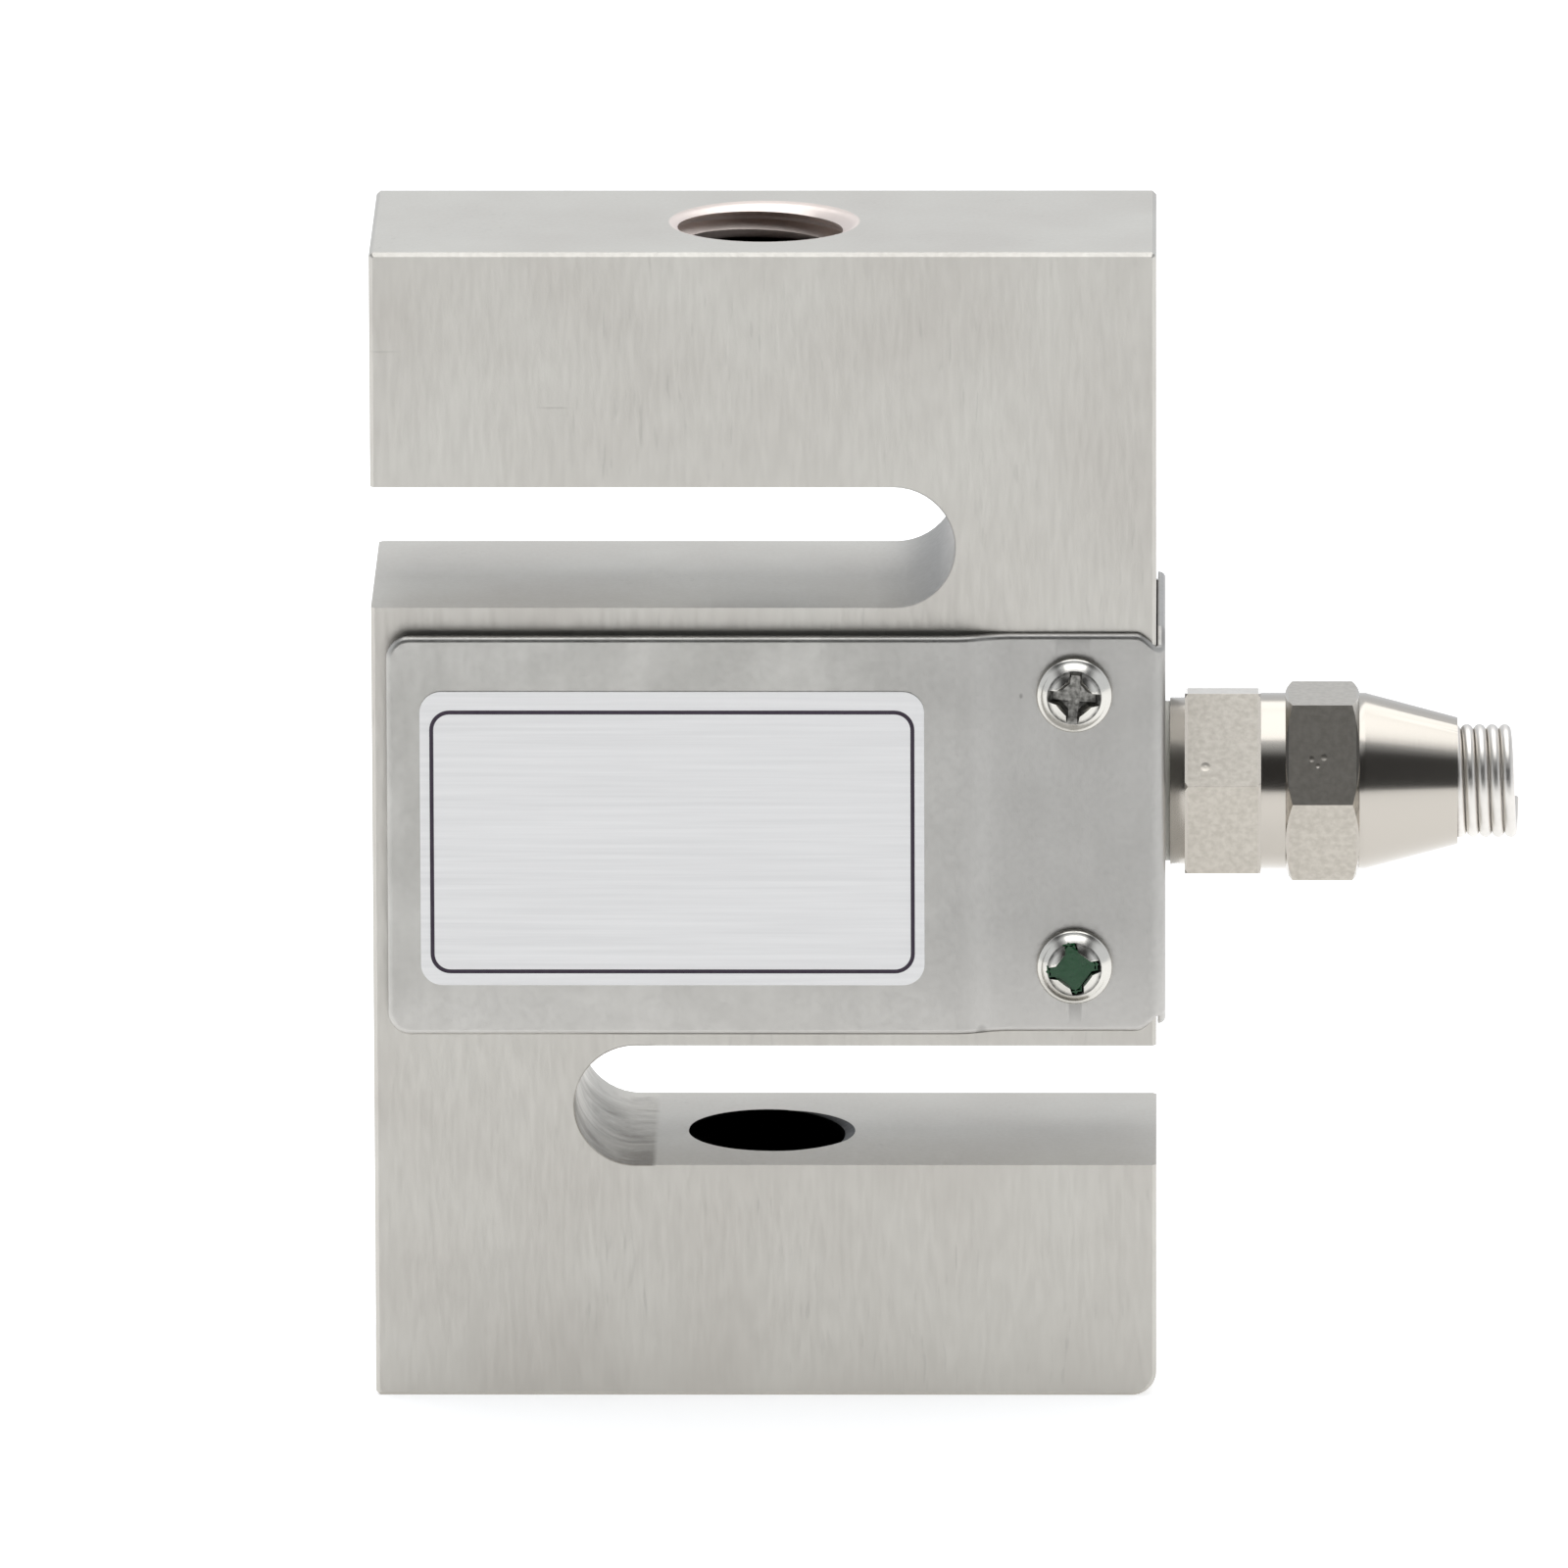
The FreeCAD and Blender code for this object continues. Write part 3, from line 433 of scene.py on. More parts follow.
def upper_slot_end_shade(tree, place, tone):
    """Painted shade, even and soft, round the upper slot's end."""
    along, wall = slot_distance(tree, place, 1, element_high.z - ARM - SLOT_RADIUS)
    soft = {"interpolation_type": "SMOOTHSTEP", 1: -2 * MM, 2: 4 * MM, 4: 0.85}
    fade = node(tree, "ShaderNodeMapRange", soft, {0: along})
    zone = node(tree, "ShaderNodeMath", {"operation": "MULTIPLY"}, {0: wall, 1: fade})
    return node(
        tree, "ShaderNodeMix", {"data_type": "RGBA", 7: colour("#92908D")}, {0: zone, 6: tone}
    ).outputs[2]


def thread_highlight_and_shade(tree, place, tone):
    """Painted highlight, rosy, in the first turns of the upper thread; painted shade below it,
    brown, and black in the lower thread.
    """
    flat = node(tree, "ShaderNodeMapping", {"Scale": (1, 1, 0)}, {0: place})
    reach = node(tree, "ShaderNodeVectorMath", {"operation": "LENGTH"}, {0: flat})
    near_axis = node(
        tree,
        "ShaderNodeMapRange",
        {1: THREAD_MAJOR + 0.25 * MM, 2: THREAD_MAJOR + 0.1 * MM},
        {0: reach.outputs["Value"]},
    )
    height = node(tree, "ShaderNodeSeparateXYZ", links={0: place}).outputs["Z"]
    top = element_high.z
    offset = node(tree, "ShaderNodeMath", {"operation": "SUBTRACT", 1: top / 2}, {0: height})
    off_middle = node(tree, "ShaderNodeMath", {"operation": "ABSOLUTE"}, {0: offset})
    arm_start = top / 2 - ARM
    in_arm = node(
        tree,
        "ShaderNodeMapRange",
        {1: arm_start + 0.01 * MM, 2: arm_start + 0.03 * MM},
        {0: off_middle},
    )
    in_hole = node(tree, "ShaderNodeMath", {"operation": "MULTIPLY"}, {0: near_axis, 1: in_arm})
    # painted highlight, rosy, near the mouth; painted shade, brown, deeper down
    deep = node(tree, "ShaderNodeMapRange", {1: top - 1.85 * MM, 2: top - 2.25 * MM}, {0: height})
    upper_tone = node(
        tree,
        "ShaderNodeMix",
        {"data_type": "RGBA", 6: colour("#E6DAD3"), 7: colour("#3A2C26")},
        {0: deep},
    ).outputs[2]
    # painted shade: the lower thread black
    low = node(tree, "ShaderNodeMapRange", {1: top / 2 + 1 * MM, 2: top / 2}, {0: height})
    thread_tone = node(
        tree,
        "ShaderNodeMix",
        {"data_type": "RGBA", 7: colour("#020202")},
        {0: low, 6: upper_tone},
    ).outputs[2]
    return node(
        tree, "ShaderNodeMix", {"data_type": "RGBA"}, {0: in_hole, 6: tone, 7: thread_tone}
    ).outputs[2]


def plated_sheet():
    # Satin plated sheet steel: a cool mid grey with soft upright bands from rolling and
    # cloudy handling marks, darker towards the right, a painted highlight lighter towards its
    # lower edge, two small dark marks and a painted shadow at the foot of the step. The
    # sheet's grain, truly about 0.05 mm, is drawn at 0.35 mm so that it shows.
    material, tree, place = new_material("satin_plated_sheet")
    upright = node(tree, "ShaderNodeMapping", {"Scale": (1, 1, 0.1)}, {0: place})
    bands = node(
        tree, "ShaderNodeTexNoise", {"Scale": 1 / (1.8 * MM), "Detail": 2}, {0: upright}
    )
    cloud = node(tree, "ShaderNodeTexNoise", {"Scale": 1 / (5 * MM), "Detail": 4}, {0: place})
    mottle = node(
        tree, "ShaderNodeMath", {"operation": "MULTIPLY_ADD", 1: 0.5}, {0: bands, 2: cloud}
    )
    tone = node(
        tree,
        "ShaderNodeMix",
        {"data_type": "RGBA", 6: colour("#B2B0AB"), 7: colour("#BFBDB8")},
        {0: node(tree, "ShaderNodeMapRange", {1: 0.6, 2: 0.9}, {0: mottle})},
    ).outputs[2]
    axes = node(tree, "ShaderNodeSeparateXYZ", links={0: place}).outputs
    right = node(tree, "ShaderNodeMapRange", {1: 3 * MM, 2: 14 * MM, 4: 0.6}, {0: axes["X"]})
    tone = node(
        tree, "ShaderNodeMix", {"data_type": "RGBA", 7: colour("#A8A6A3")}, {0: right, 6: tone}
    ).outputs[2]
    # painted highlight: the sheet lighter towards its lower edge
    lower_edge_highlight = node(
        tree,
        "ShaderNodeMapRange",
        {1: COVER_BOTTOM + 7 * MM, 2: COVER_BOTTOM, 4: 0.55},
        {0: axes["Z"]},
    )
    tone = node(
        tree, "ShaderNodeMix", {"data_type": "RGBA", 7: colour("#CBC8C3")}, {0: lower_edge_highlight, 6: tone}
    ).outputs[2]
    front = cover_low.y / MM
    # two small dark marks, and the third a painted shadow at the foot of the step
    specks_and_step_shadow = [
        ((16.66, front + 0.9, 46.99), (0.16, 0.4, 0.22)),
        ((14.5, front, 46.2), (0.5, 0.6, 0.12)),
        ((14.1, front, 24.6), (0.5, 1.2, 0.7)),
    ]
    dark = spots(tree, place, specks_and_step_shadow)
    share = node(tree, "ShaderNodeMath", {"operation": "MULTIPLY", 1: 0.5}, {0: dark})
    tone = node(
        tree, "ShaderNodeMix", {"data_type": "RGBA", 7: colour("#6E6C69")}, {0: share, 6: tone}
    ).outputs[2]
    grain = node(tree, "ShaderNodeTexNoise", {"Scale": 1 / (0.35 * MM)}, {0: place})
    rough = node(tree, "ShaderNodeMapRange", {1: 0.3, 2: 0.7, 3: 0.36, 4: 0.44}, {0: grain})
    bump = node(
        tree, "ShaderNodeBump", {"Strength": 0.2, "Distance": 0.006 * MM}, {"Height": grain}
    )
    links = {"Base Color": tone, "Roughness": rough, "Normal": bump}
    finish_with(tree, {"Metallic": 1.0}, links)
    return material


def gland_nickel():
    # Bright nickel on brass: mirror-like with turning lines on the turned parts, pitted and
    # duller on the wrench flats, which also carry a few dents. The turning lines, truly
    # about 0.05 mm apart, are drawn at 0.15 mm so that they show.
    material, tree, place = new_material("bright_nickel_on_brass")
    along = node(tree, "ShaderNodeSeparateXYZ", links={0: place})
    flats = [
        node(tree, "ShaderNodeMath", {"operation": "COMPARE", 1: middle, 2: half}, {0: along})
        for middle, half in ((29.73 * MM, 2.3 * MM), (36.2 * MM, 2.2 * MM))
    ]
    on_flats = node(tree, "ShaderNodeMath", {"operation": "ADD"}, {0: flats[0], 1: flats[1]})
    mottle = node(tree, "ShaderNodeTexNoise", {"Scale": 1 / (0.4 * MM), "Detail": 4}, {0: place})
    pitted = node(
        tree,
        "ShaderNodeMix",
        {"data_type": "RGBA", 6: colour("#B4AEA4"), 7: colour("#C2BCB2")},
        {0: node(tree, "ShaderNodeMapRange", {1: 0.35, 2: 0.65}, {0: mottle})},
    ).outputs[2]
    tone = node(
        tree,
        "ShaderNodeMix",
        {"data_type": "RGBA", 6: colour("#BDB7AE")},
        {0: on_flats, 7: pitted},
    ).outputs[2]
    rings = node(tree, "ShaderNodeMapping", {"Scale": (1, 0.05, 0.05)}, {0: place})
    turning = node(tree, "ShaderNodeTexNoise", {"Scale": 1 / (0.15 * MM)}, {0: rings})
    dents = [
        ((28.6, -5.6, 41.2), (0.32, 1.5, 0.25)),
        ((35.5, -5.8, 41.6), (0.2, 1.5, 0.2)),
        ((36.3, -5.8, 41.7), (0.25, 1.5, 0.22)),
        ((35.9, -5.8, 41.2), (0.15, 1.5, 0.15)),
    ]
    dented = spots(tree, place, dents)
    skin = node(
        tree, "ShaderNodeMath", {"operation": "MULTIPLY_ADD", 1: -4.0}, {0: dented, 2: mottle}
    )
    relief = node(
        tree, "ShaderNodeMix", {"data_type": "FLOAT"}, {0: on_flats, 2: turning, 3: skin}
    )
    depth = node(tree, "ShaderNodeMapRange", {3: 0.05, 4: 0.25}, {0: on_flats})
    bump = node(
        tree, "ShaderNodeBump", {"Distance": 0.02 * MM}, {"Height": relief, "Strength": depth}
    )
    rough = node(tree, "ShaderNodeMapRange", {3: 0.18, 4: 0.3}, {0: on_flats})
    links = {"Base Color": tone, "Roughness": rough, "Normal": bump}
    finish_with(tree, {"Metallic": 1.0}, links)
    return material


def driven_screw_nickel():
    # Bright nickel on screw steel: a clean light head; down in the recess painted shade in
    # dark grey, mottled with scuffs where the driver bit, and rougher. The scuffs are the
    # 0.3 mm that a bit's edge leaves.
    material, tree, place = new_material("bright_nickel_on_screw_steel")
    low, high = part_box("front_upper_screw")
    middle = (low + high) / 2
    shift = (-middle.x, 0, -COVER_Z)
    centred = node(tree, "ShaderNodeMapping", {"Location": shift}, {0: place})
    folded = node(tree, "ShaderNodeVectorMath", {"operation": "ABSOLUTE"}, {0: centred})
    axis = (0, 0, middle.z - COVER_Z)
    off_axis = node(
        tree, "ShaderNodeVectorMath", {"operation": "SUBTRACT", 1: axis}, {0: folded}
    )
    flat = node(tree, "ShaderNodeMapping", {"Scale": (1, 0, 1)}, {0: off_axis})
    reach = node(tree, "ShaderNodeVectorMath", {"operation": "LENGTH"}, {0: flat})
    near = node(
        tree, "ShaderNodeMapRange", {1: 1.8 * MM, 2: 1.75 * MM}, {0: reach.outputs["Value"]}
    )
    out = node(tree, "ShaderNodeSeparateXYZ", links={0: folded}).outputs["Y"]
    head_top = -low.y
    sunk = node(
        tree, "ShaderNodeMapRange", {1: head_top - 0.36 * MM, 2: head_top - 0.5 * MM}, {0: out}
    )
    inside = node(tree, "ShaderNodeMath", {"operation": "MULTIPLY"}, {0: near, 1: sunk})
    scuff = node(tree, "ShaderNodeTexNoise", {"Scale": 1 / (0.3 * MM), "Detail": 2}, {0: place})
    # painted shade down in the recess, mottled with scuffs
    recess_shade_tone = node(
        tree,
        "ShaderNodeMix",
        {"data_type": "RGBA", 6: colour("#5E5D59"), 7: colour("#9E9C97")},
        {0: node(tree, "ShaderNodeMapRange", {1: 0.35, 2: 0.7}, {0: scuff})},
    ).outputs[2]
    tone = node(
        tree, "ShaderNodeMix", {"data_type": "RGBA", 6: colour("#D6D3CC")}, {0: inside, 7: recess_shade_tone}
    ).outputs[2]
    rough = node(tree, "ShaderNodeMapRange", {3: 0.18, 4: 0.38}, {0: inside})
    bump = node(
        tree, "ShaderNodeBump", {"Strength": 0.25, "Distance": 0.01 * MM}, {"Height": scuff}
    )
    links = {"Base Color": tone, "Roughness": rough, "Normal": bump}
    finish_with(tree, {"Metallic": 1.0}, links)
    return material


def grained(name, code, roughness, metallic=0.0, grain=0.4 * MM, depth=0.01 * MM):
    """One finish: its colour a little lighter and darker, a grain in its gloss and surface.

    The grain is drawn at 0.3 to 0.6 mm, coarser than the real one, so that it shows.
    """
    material, tree, place = new_material(name)
    speckle = node(tree, "ShaderNodeTexNoise", {"Scale": 1 / grain, "Detail": 2}, {0: place})
    cloud = node(tree, "ShaderNodeTexNoise", {"Scale": 0.1 / grain, "Detail": 2}, {0: place})
    shade = node(tree, "ShaderNodeMapRange", {1: 0.3, 2: 0.7, 3: 0.93, 4: 1.07}, {0: cloud})
    tone = node(
        tree, "ShaderNodeHueSaturation", {"Color": colour(code)}, {"Value": shade}
    )
    low, high = roughness * 0.85, roughness * 1.15
    rough = node(tree, "ShaderNodeMapRange", {1: 0.3, 2: 0.7, 3: low, 4: high}, {0: speckle})
    bump = node(
        tree, "ShaderNodeBump", {"Strength": 0.3, "Distance": depth}, {"Height": speckle}
    )
    links = {"Base Color": tone, "Roughness": rough, "Normal": bump}
    finish_with(tree, {"Metallic": metallic}, links)
    return material


def brushed_film():
    # Silver polyester film, brushed along its length: pale, nearly matt, fine level lines.
    # The lines, truly about 0.05 mm apart, are drawn at 0.25 mm so that they show.
    material, tree, place = new_material("brushed_silver_film")
    level = node(tree, "ShaderNodeMapping", {"Scale": (0.02, 1, 1)}, {0: place})
    lines = node(tree, "ShaderNodeTexNoise", {"Scale": 1 / (0.25 * MM)}, {0: level})
    tone = node(
        tree,
        "ShaderNodeMix",
        {"data_type": "RGBA", 6: colour("#DFDEDD"), 7: colour("#E7E6E5")},
        {0: node(tree, "ShaderNodeMapRange", {1: 0.3, 2: 0.7}, {0: lines})},
    ).outputs[2]
    bump = node(
        tree, "ShaderNodeBump", {"Strength": 0.2, "Distance": 0.004 * MM}, {"Height": lines}
    )
    finish_with(tree, {"Metallic": 0.85, "Roughness": 0.4}, {"Base Color": tone, "Normal": bump})
    return material


steel = nickel_on_milled_steel()
sheet_steel = plated_sheet()
film = brushed_film()
nickel = gland_nickel()
screw_nickel = driven_screw_nickel()
# Nickel on drawn wire: pale grey with a soft shine.
spring_plate = grained("satin_nickel_on_spring_wire", "#E0DCD6", 0.38, 1.0, 0.3 * MM, 0.004 * MM)
# Screen-printed ink: near black with a hint of purple, matt.
ink = grained("dark_label_ink", "#3D3040", 0.6)
# Brushed-on lacquer: deep green and glossy, in lumps.
paint = grained("green_tamper_lacquer", "#0C4F26", 0.3, 0.0, 0.6 * MM, 0.2 * MM)
# Pressed sealant: near black and dull.
sealant = grained("dark_rubbery_sealant", "#1B1A18", 0.6)
# Moulded rubber: black, a little smoother than the sealant.
rubber = grained("black_nitrile_rubber", "#161616", 0.55)
# Moulded nylon, undyed: milky with a waxy shine.
nylon = grained("natural_nylon", "#DAD7CC", 0.45)
# Poured silicone: white with a soft shine.
silicone = grained("white_potting_silicone", "#DCDCD8", 0.45)
# Glass-epoxy board: plain green, half gloss.
laminate = grained("green_glass_epoxy", "#2F6B45", 0.4)
# Moulded resistor body: blue-black, smooth.
chip = grained("black_moulded_resistor", "#1C1C20", 0.35)
# Polyimide gauge foil: amber, half gloss.
foil = grained("polyimide_gauge_foil", "#C98A45", 0.4)
# Dipped copper strip: silvery, bright.
tinned = grained("tinned_copper_strip", "#D2CEC4", 0.3, 1.0)


# --- spring element ---------------------------------------------------------------------------


def thread_cutter(name, low, high):
    """A tap's ridge: a 60 degree wedge wound into a helix about the load axis."""
    inner, outer = TAP_DRILL - 0.2 * MM, THREAD_MAJOR
    middle, depth = (inner + outer) / 2, outer - inner
    tip = THREAD_PITCH / 8
    root = tip + 2 * depth * math.tan(math.radians(30))
    piece = add(
        bpy.ops.mesh.primitive_plane_add,
        name,
        stretch=(depth, root, 1),
        turn=(math.pi / 2, 0, 0),
        place=(middle, 0, low - THREAD_PITCH),
        size=1,
    )
    pick(piece, "EDGE", lambda ends: all(end.x > middle for end in ends))
    bpy.ops.transform.resize(value=(1, 1, tip / root))
    turns = math.ceil((high - low) / THREAD_PITCH) + 2
    modify(
        piece,
        "SCREW",
        axis="Z",
        angle=2 * math.pi * turns,
        screw_offset=THREAD_PITCH * turns,
        steps=STEPS_PER_TURN * turns,
        render_steps=STEPS_PER_TURN * turns,
    )
    return cap_ends(piece)


def spring_element():
    """The milled S with its slot edges broken and both arms tapped."""
    piece = copy_of("spring_element", "spring_element_body")
    round_edges(piece, 0.15 * MM, 3, 50)
    lower = thread_cutter("lower_tap", element_low.z, element_low.z + ARM)
    combine(piece, lower, "DIFFERENCE")
    upper = thread_cutter("upper_tap", element_high.z - ARM, element_high.z)
    combine(piece, upper, "DIFFERENCE")
    return fit(piece, "nickel_steel", steel, "spring_element")


# --- cover, seals and nameplate ------------------------------------------------------------------


def bent_sheet():
    """One upright strip pulled round the block along its bent path."""
    pan, flange, end = -cover_low.y, -cover_low.y - STEP, cover_high.x
    path = [(PAN_END, -pan), (FLANGE_START, -flange), (end, -flange)]
    path += [(end, flange), (FLANGE_START, flange), (PAN_END, pan), (cover_low.x, pan)]
    piece = add(
        bpy.ops.mesh.primitive_plane_add,
        "wrap_cover_sheet",
        stretch=(PAN_END - cover_low.x, COVER_TOP - COVER_BOTTOM, 1),
        turn=(math.pi / 2, 0, 0),
        place=((PAN_END + cover_low.x) / 2, -pan, (COVER_TOP + COVER_BOTTOM) / 2),
        size=1,
    )
    pick(piece, "EDGE", lambda ends: upright_at(ends, PAN_END))
    for start, corner in zip(path, path[1:]):
        move = Vector((*corner, 0)) - Vector((*start, 0))
        bpy.ops.mesh.extrude_region_move(TRANSFORM_OT_translate={"value": move})
    for x, reach in ((end, BEND), (PAN_END, STEP_BEND), (FLANGE_START, STEP_BEND)):
        pick(piece, "EDGE", lambda ends: upright_at(ends, x))
        bpy.ops.mesh.bevel(offset=reach, segments=8, profile=0.5)
    pick(piece, "EDGE", lambda ends: level_past(ends, FLANGE_START + 0.5 * MM))
    bpy.ops.mesh.subdivide(number_cuts=RIM_CUTS)
    draw_in_corners(face_outwards(piece), end, flange)
    return modify(piece, "SOLIDIFY", thickness=SHEET, offset=-1)


def upright_at(ends, x):
    """Whether an edge stands upright at one place along the block."""
    at_place = all(abs(end.x - x) < 0.01 * MM for end in ends)
    return at_place and abs(ends[0].y - ends[1].y) < 0.01 * MM


def level_past(ends, x):
    """Whether a long level edge of the sheet lies wholly past one place."""
    level = abs(ends[0].z - ends[1].z) < 0.01 * MM
    return level and min(end.x for end in ends) > x and (ends[0] - ends[1]).length > 2 * MM


def draw_in_corners(piece, end, flange):
    """Draws the rims in where the sheet is bent round the block's corners."""
    for side in (1, -1):
        for rim, pull in ((COVER_TOP, -RIM_PULL), (COVER_BOTTOM, RIM_PULL)):
            corner = Vector((end - 0.15 * MM, side * (flange - 0.5 * MM), rim))
            pick(piece, "VERT", lambda ends: (ends[0] - corner).length < 0.45 * MM)
            bpy.ops.transform.translate(
                value=(0, 0, pull),
                use_proportional_edit=True,
                proportional_edit_falloff="SMOOTH",
                proportional_size=1.6 * MM,
            )


def wrap_cover():
    """The bent sheet with its gland port, screw holes, round corners and softened rims."""
    piece = bent_sheet()
    reach = 5 * MM
    port = lathe("port", (cover_high.x - reach, GLAND_PORT), [(cover_high.x + reach, GLAND_PORT)])
    combine(piece, settle(port, (0, 0, GLAND_Z)), "DIFFERENCE")
    for screw in ("front_upper_screw", "front_lower_screw"):
        low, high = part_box(screw)
        drill = lathe("drill", (-20 * MM, SCREW_HOLE), [(20 * MM, SCREW_HOLE)], 32)
        place = ((low.x + high.x) / 2, 0, (low.z + high.z) / 2)
        combine(piece, settle(drill, place, (0, 0, math.pi / 2)), "DIFFERENCE")
    pick(piece, "EDGE", free_corner)
    bpy.ops.mesh.bevel(offset=COVER_CORNER, segments=10, profile=0.5)
    pick(piece, "EDGE", outer_rim)
    bpy.ops.mesh.bevel(offset=RIM_ROLL, segments=6, profile=0.5)
    round_edges(piece, 0.05 * MM, 2, 60)
    return fit(piece, "cover_sheet", sheet_steel, "wrap_cover")


def outer_rim(ends):
    """Whether an edge runs along the rim of the sheet's outer face."""
    heights = [end.z for end in ends]
    at_left = all(end.x < cover_low.x + 0.01 * MM for end in ends)
    depth = COVER_CORNER + 0.05 * MM
    at_rim = min(heights) > COVER_TOP - depth or max(heights) < COVER_BOTTOM + depth
    return all(on_outer_face(end) for end in ends) and (at_left or at_rim)


def on_outer_face(point):
    """Whether a point lies outside the middle of the bent sheet's thickness."""
    pan, end = -cover_low.y, cover_high.x
    stepped = min(max((point.x - PAN_END) / (FLANGE_START - PAN_END), 0), 1)
    face = pan - stepped * STEP
    along, across = end - BEND - point.x, face - BEND - abs(point.y)
    if along < 0 and across < 0:
        return math.hypot(along, across) > BEND - SHEET / 2
    return min(along, across) < -(BEND - SHEET / 2)


def free_corner(ends):
    """Whether an edge is one of the sheet's four free corners, from outside to inside."""
    at_end = all(abs(end.x - cover_low.x) < 0.01 * MM for end in ends)
    return at_end and abs(ends[0].z - ends[1].z) < 0.01 * MM


def rounded_plate(name, low, high, corner):
    """A thin upright face with round corners at the front of its space."""
    piece = add(
        bpy.ops.mesh.primitive_plane_add,
        name,
        stretch=(high.x - low.x, high.z - low.z, 1),
        turn=(math.pi / 2, 0, 0),
        place=((low.x + high.x) / 2, low.y, (low.z + high.z) / 2),
        size=1,
    )
    bpy.ops.object.mode_set(mode="EDIT")
    bpy.ops.mesh.select_all(action="SELECT")
    bpy.ops.mesh.bevel(offset=corner, segments=10, affect="VERTICES")
    bpy.ops.mesh.select_mode(type="FACE")
    bpy.ops.mesh.select_all(action="SELECT")
    return piece


def nameplate():
    """Thin film with round corners and a printed border line, bare inside."""
    low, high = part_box("nameplate")
    plate = rounded_plate("nameplate_film", low, high, 1.4 * MM)
    bpy.ops.mesh.extrude_region_move(TRANSFORM_OT_translate={"value": (0, high.y - low.y, 0)})
    fit(face_outwards(plate), "silver_film", film, "nameplate")
    side_margin, lower_margin, upper_margin = 0.63, 0.79, 1.24
    line_low = low + Vector((side_margin, 0, lower_margin)) * MM
    line_high = high - Vector((side_margin, 0, upper_margin)) * MM
    line = rounded_plate("nameplate_border", line_low, line_high, 1.3 * MM)
    bpy.ops.mesh.inset(thickness=0.26 * MM)
    bpy.ops.mesh.delete(type="FACE")
    modify(line, "SOLIDIFY", thickness=0.02 * MM, offset=0)
    fit(line, "silver_film", ink)


# --- screws -----------------------------------------------------------------------------------


def cover_screw():
    """One screw about X: shank, domed head and a tapered cross recess."""
    outline = [(0.52, 2.47), (0.65, 2.43), (0.73, 2.34), (0.79, 2.22), (0.93, 2.11)]
    outline += [(1.04, 2.0), (1.22, 1.8), (1.37, 1.6), (1.5, 1.4), (1.61, 1.2)]
    outline += [(1.69, 1.0), (1.75, 0.75), (1.79, 0.4), (1.8, 0.05)]
    head = lathe("screw", (0, 2.47 * MM), [(x * MM, radius * MM) for x, radius in outline], 64)
    driver = cross("driver", HEAD + 0.05 * MM, 1.15 * MM, 4.15 * MM, 1.05 * MM)
    combine(head, driver, "DIFFERENCE")
    shank = lathe("shank", (-5 * MM, 1.2 * MM), [(0.3 * MM, 1.2 * MM)], 32)
    combine(head, shank, "UNION")
    return round_edges(head, 0.06 * MM, 2, 35)


def cross(name, top, depth, span, arm):
    """A cross with four arms and a web between them, drawn in towards its tip along X."""
    web_reach, narrowing, lift = 0.7 * MM, 0.85, 0.02 * MM
    piece = add(
        bpy.ops.mesh.primitive_plane_add,
        name,
        turn=(0, math.pi / 2, 0),
        place=(top, 0, 0),
        size=arm,
    )
    for way in ((0, 1, 0), (0, -1, 0), (0, 0, 1), (0, 0, -1)):
        direction = Vector(way)
        pick(piece, "EDGE", lambda ends: all(end.dot(direction) > 0.49 * arm for end in ends))
        pull = direction * (span - arm) / 2
        bpy.ops.mesh.extrude_region_move(TRANSFORM_OT_translate={"value": pull})
        across = (1, narrowing, 1) if way[2] else (1, 1, narrowing)
        bpy.ops.transform.resize(value=across)
    web = add(
        bpy.ops.mesh.primitive_plane_add,
        "web",
        turn=(0, math.pi / 2, 0),
        place=(top + lift, 0, 0),
        size=(arm + web_reach) * math.sqrt(2),
    )
    settle(web, turn=(math.pi / 4, 0, 0))
    draw_down(piece, top, depth)
    draw_down(web, top, 0.97 * depth)
    return combine(piece, web, "UNION")


def draw_down(piece, top, depth):
    """Pulls a flat face down along X and draws it in."""
    alone(piece)
    bpy.ops.object.mode_set(mode="EDIT")
    bpy.ops.mesh.select_mode(type="FACE")
    bpy.ops.mesh.select_all(action="SELECT")
    bpy.ops.mesh.extrude_region_move(TRANSFORM_OT_translate={"value": (-depth, 0, 0)})
    bpy.ops.transform.resize(value=(1, 0.66, 0.66), center_override=(top - depth, 0, 0))
    return face_outwards(piece)


def place_screws():
    """The same screw four times, each turned as its driver left it."""
    turns = {
        "front_upper": -4.5,
        "front_lower": LOWER_SCREW_TURN,
        "rear_upper": 20,
        "rear_lower": -35,
    }
    master = cover_screw()
    for where, degrees in turns.items():
        low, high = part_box(where + "_screw")
        front = where.startswith("front")
        seat = low.y + HEAD if front else high.y - HEAD
        place = ((low.x + high.x) / 2, seat, (low.z + high.z) / 2)
        screw = settle(twin(master, where + "_screw_nickel"), turn=(math.radians(degrees), 0, 0))
        settle(screw, place, (0, 0, -math.pi / 2 if front else math.pi / 2))
        fit(screw, "screw_steel", screw_nickel, where + "_screw", smooth=math.radians(40))
    bpy.data.objects.remove(master)


def tamper_lacquer():
    """Lacquer in most of the lower front screw's recess, up and left of its middle."""
    low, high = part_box("front_lower_screw")
    top = 1.25 * MM
    fill = cross("tamper_lacquer", top, 0.55 * MM, 3.25 * MM, 0.93 * MM)
    pick(fill, "FACE", lambda ends: all(end.x > top - 0.01 * MM for end in ends))
    bpy.ops.mesh.inset(thickness=0.1 * MM, depth=0.06 * MM)
    settle(fill, (0, -0.14 * MM, 0.12 * MM), (math.radians(LOWER_SCREW_TURN), 0, 0))
    place = ((low.x + high.x) / 2, low.y + HEAD, (low.z + high.z) / 2)
    settle(fill, place, (0, 0, -math.pi / 2))
    fit(fill, "green_paint", paint, "tamper_seal", smooth=math.radians(60))


# --- cable gland --------------------------------------------------------------------------------


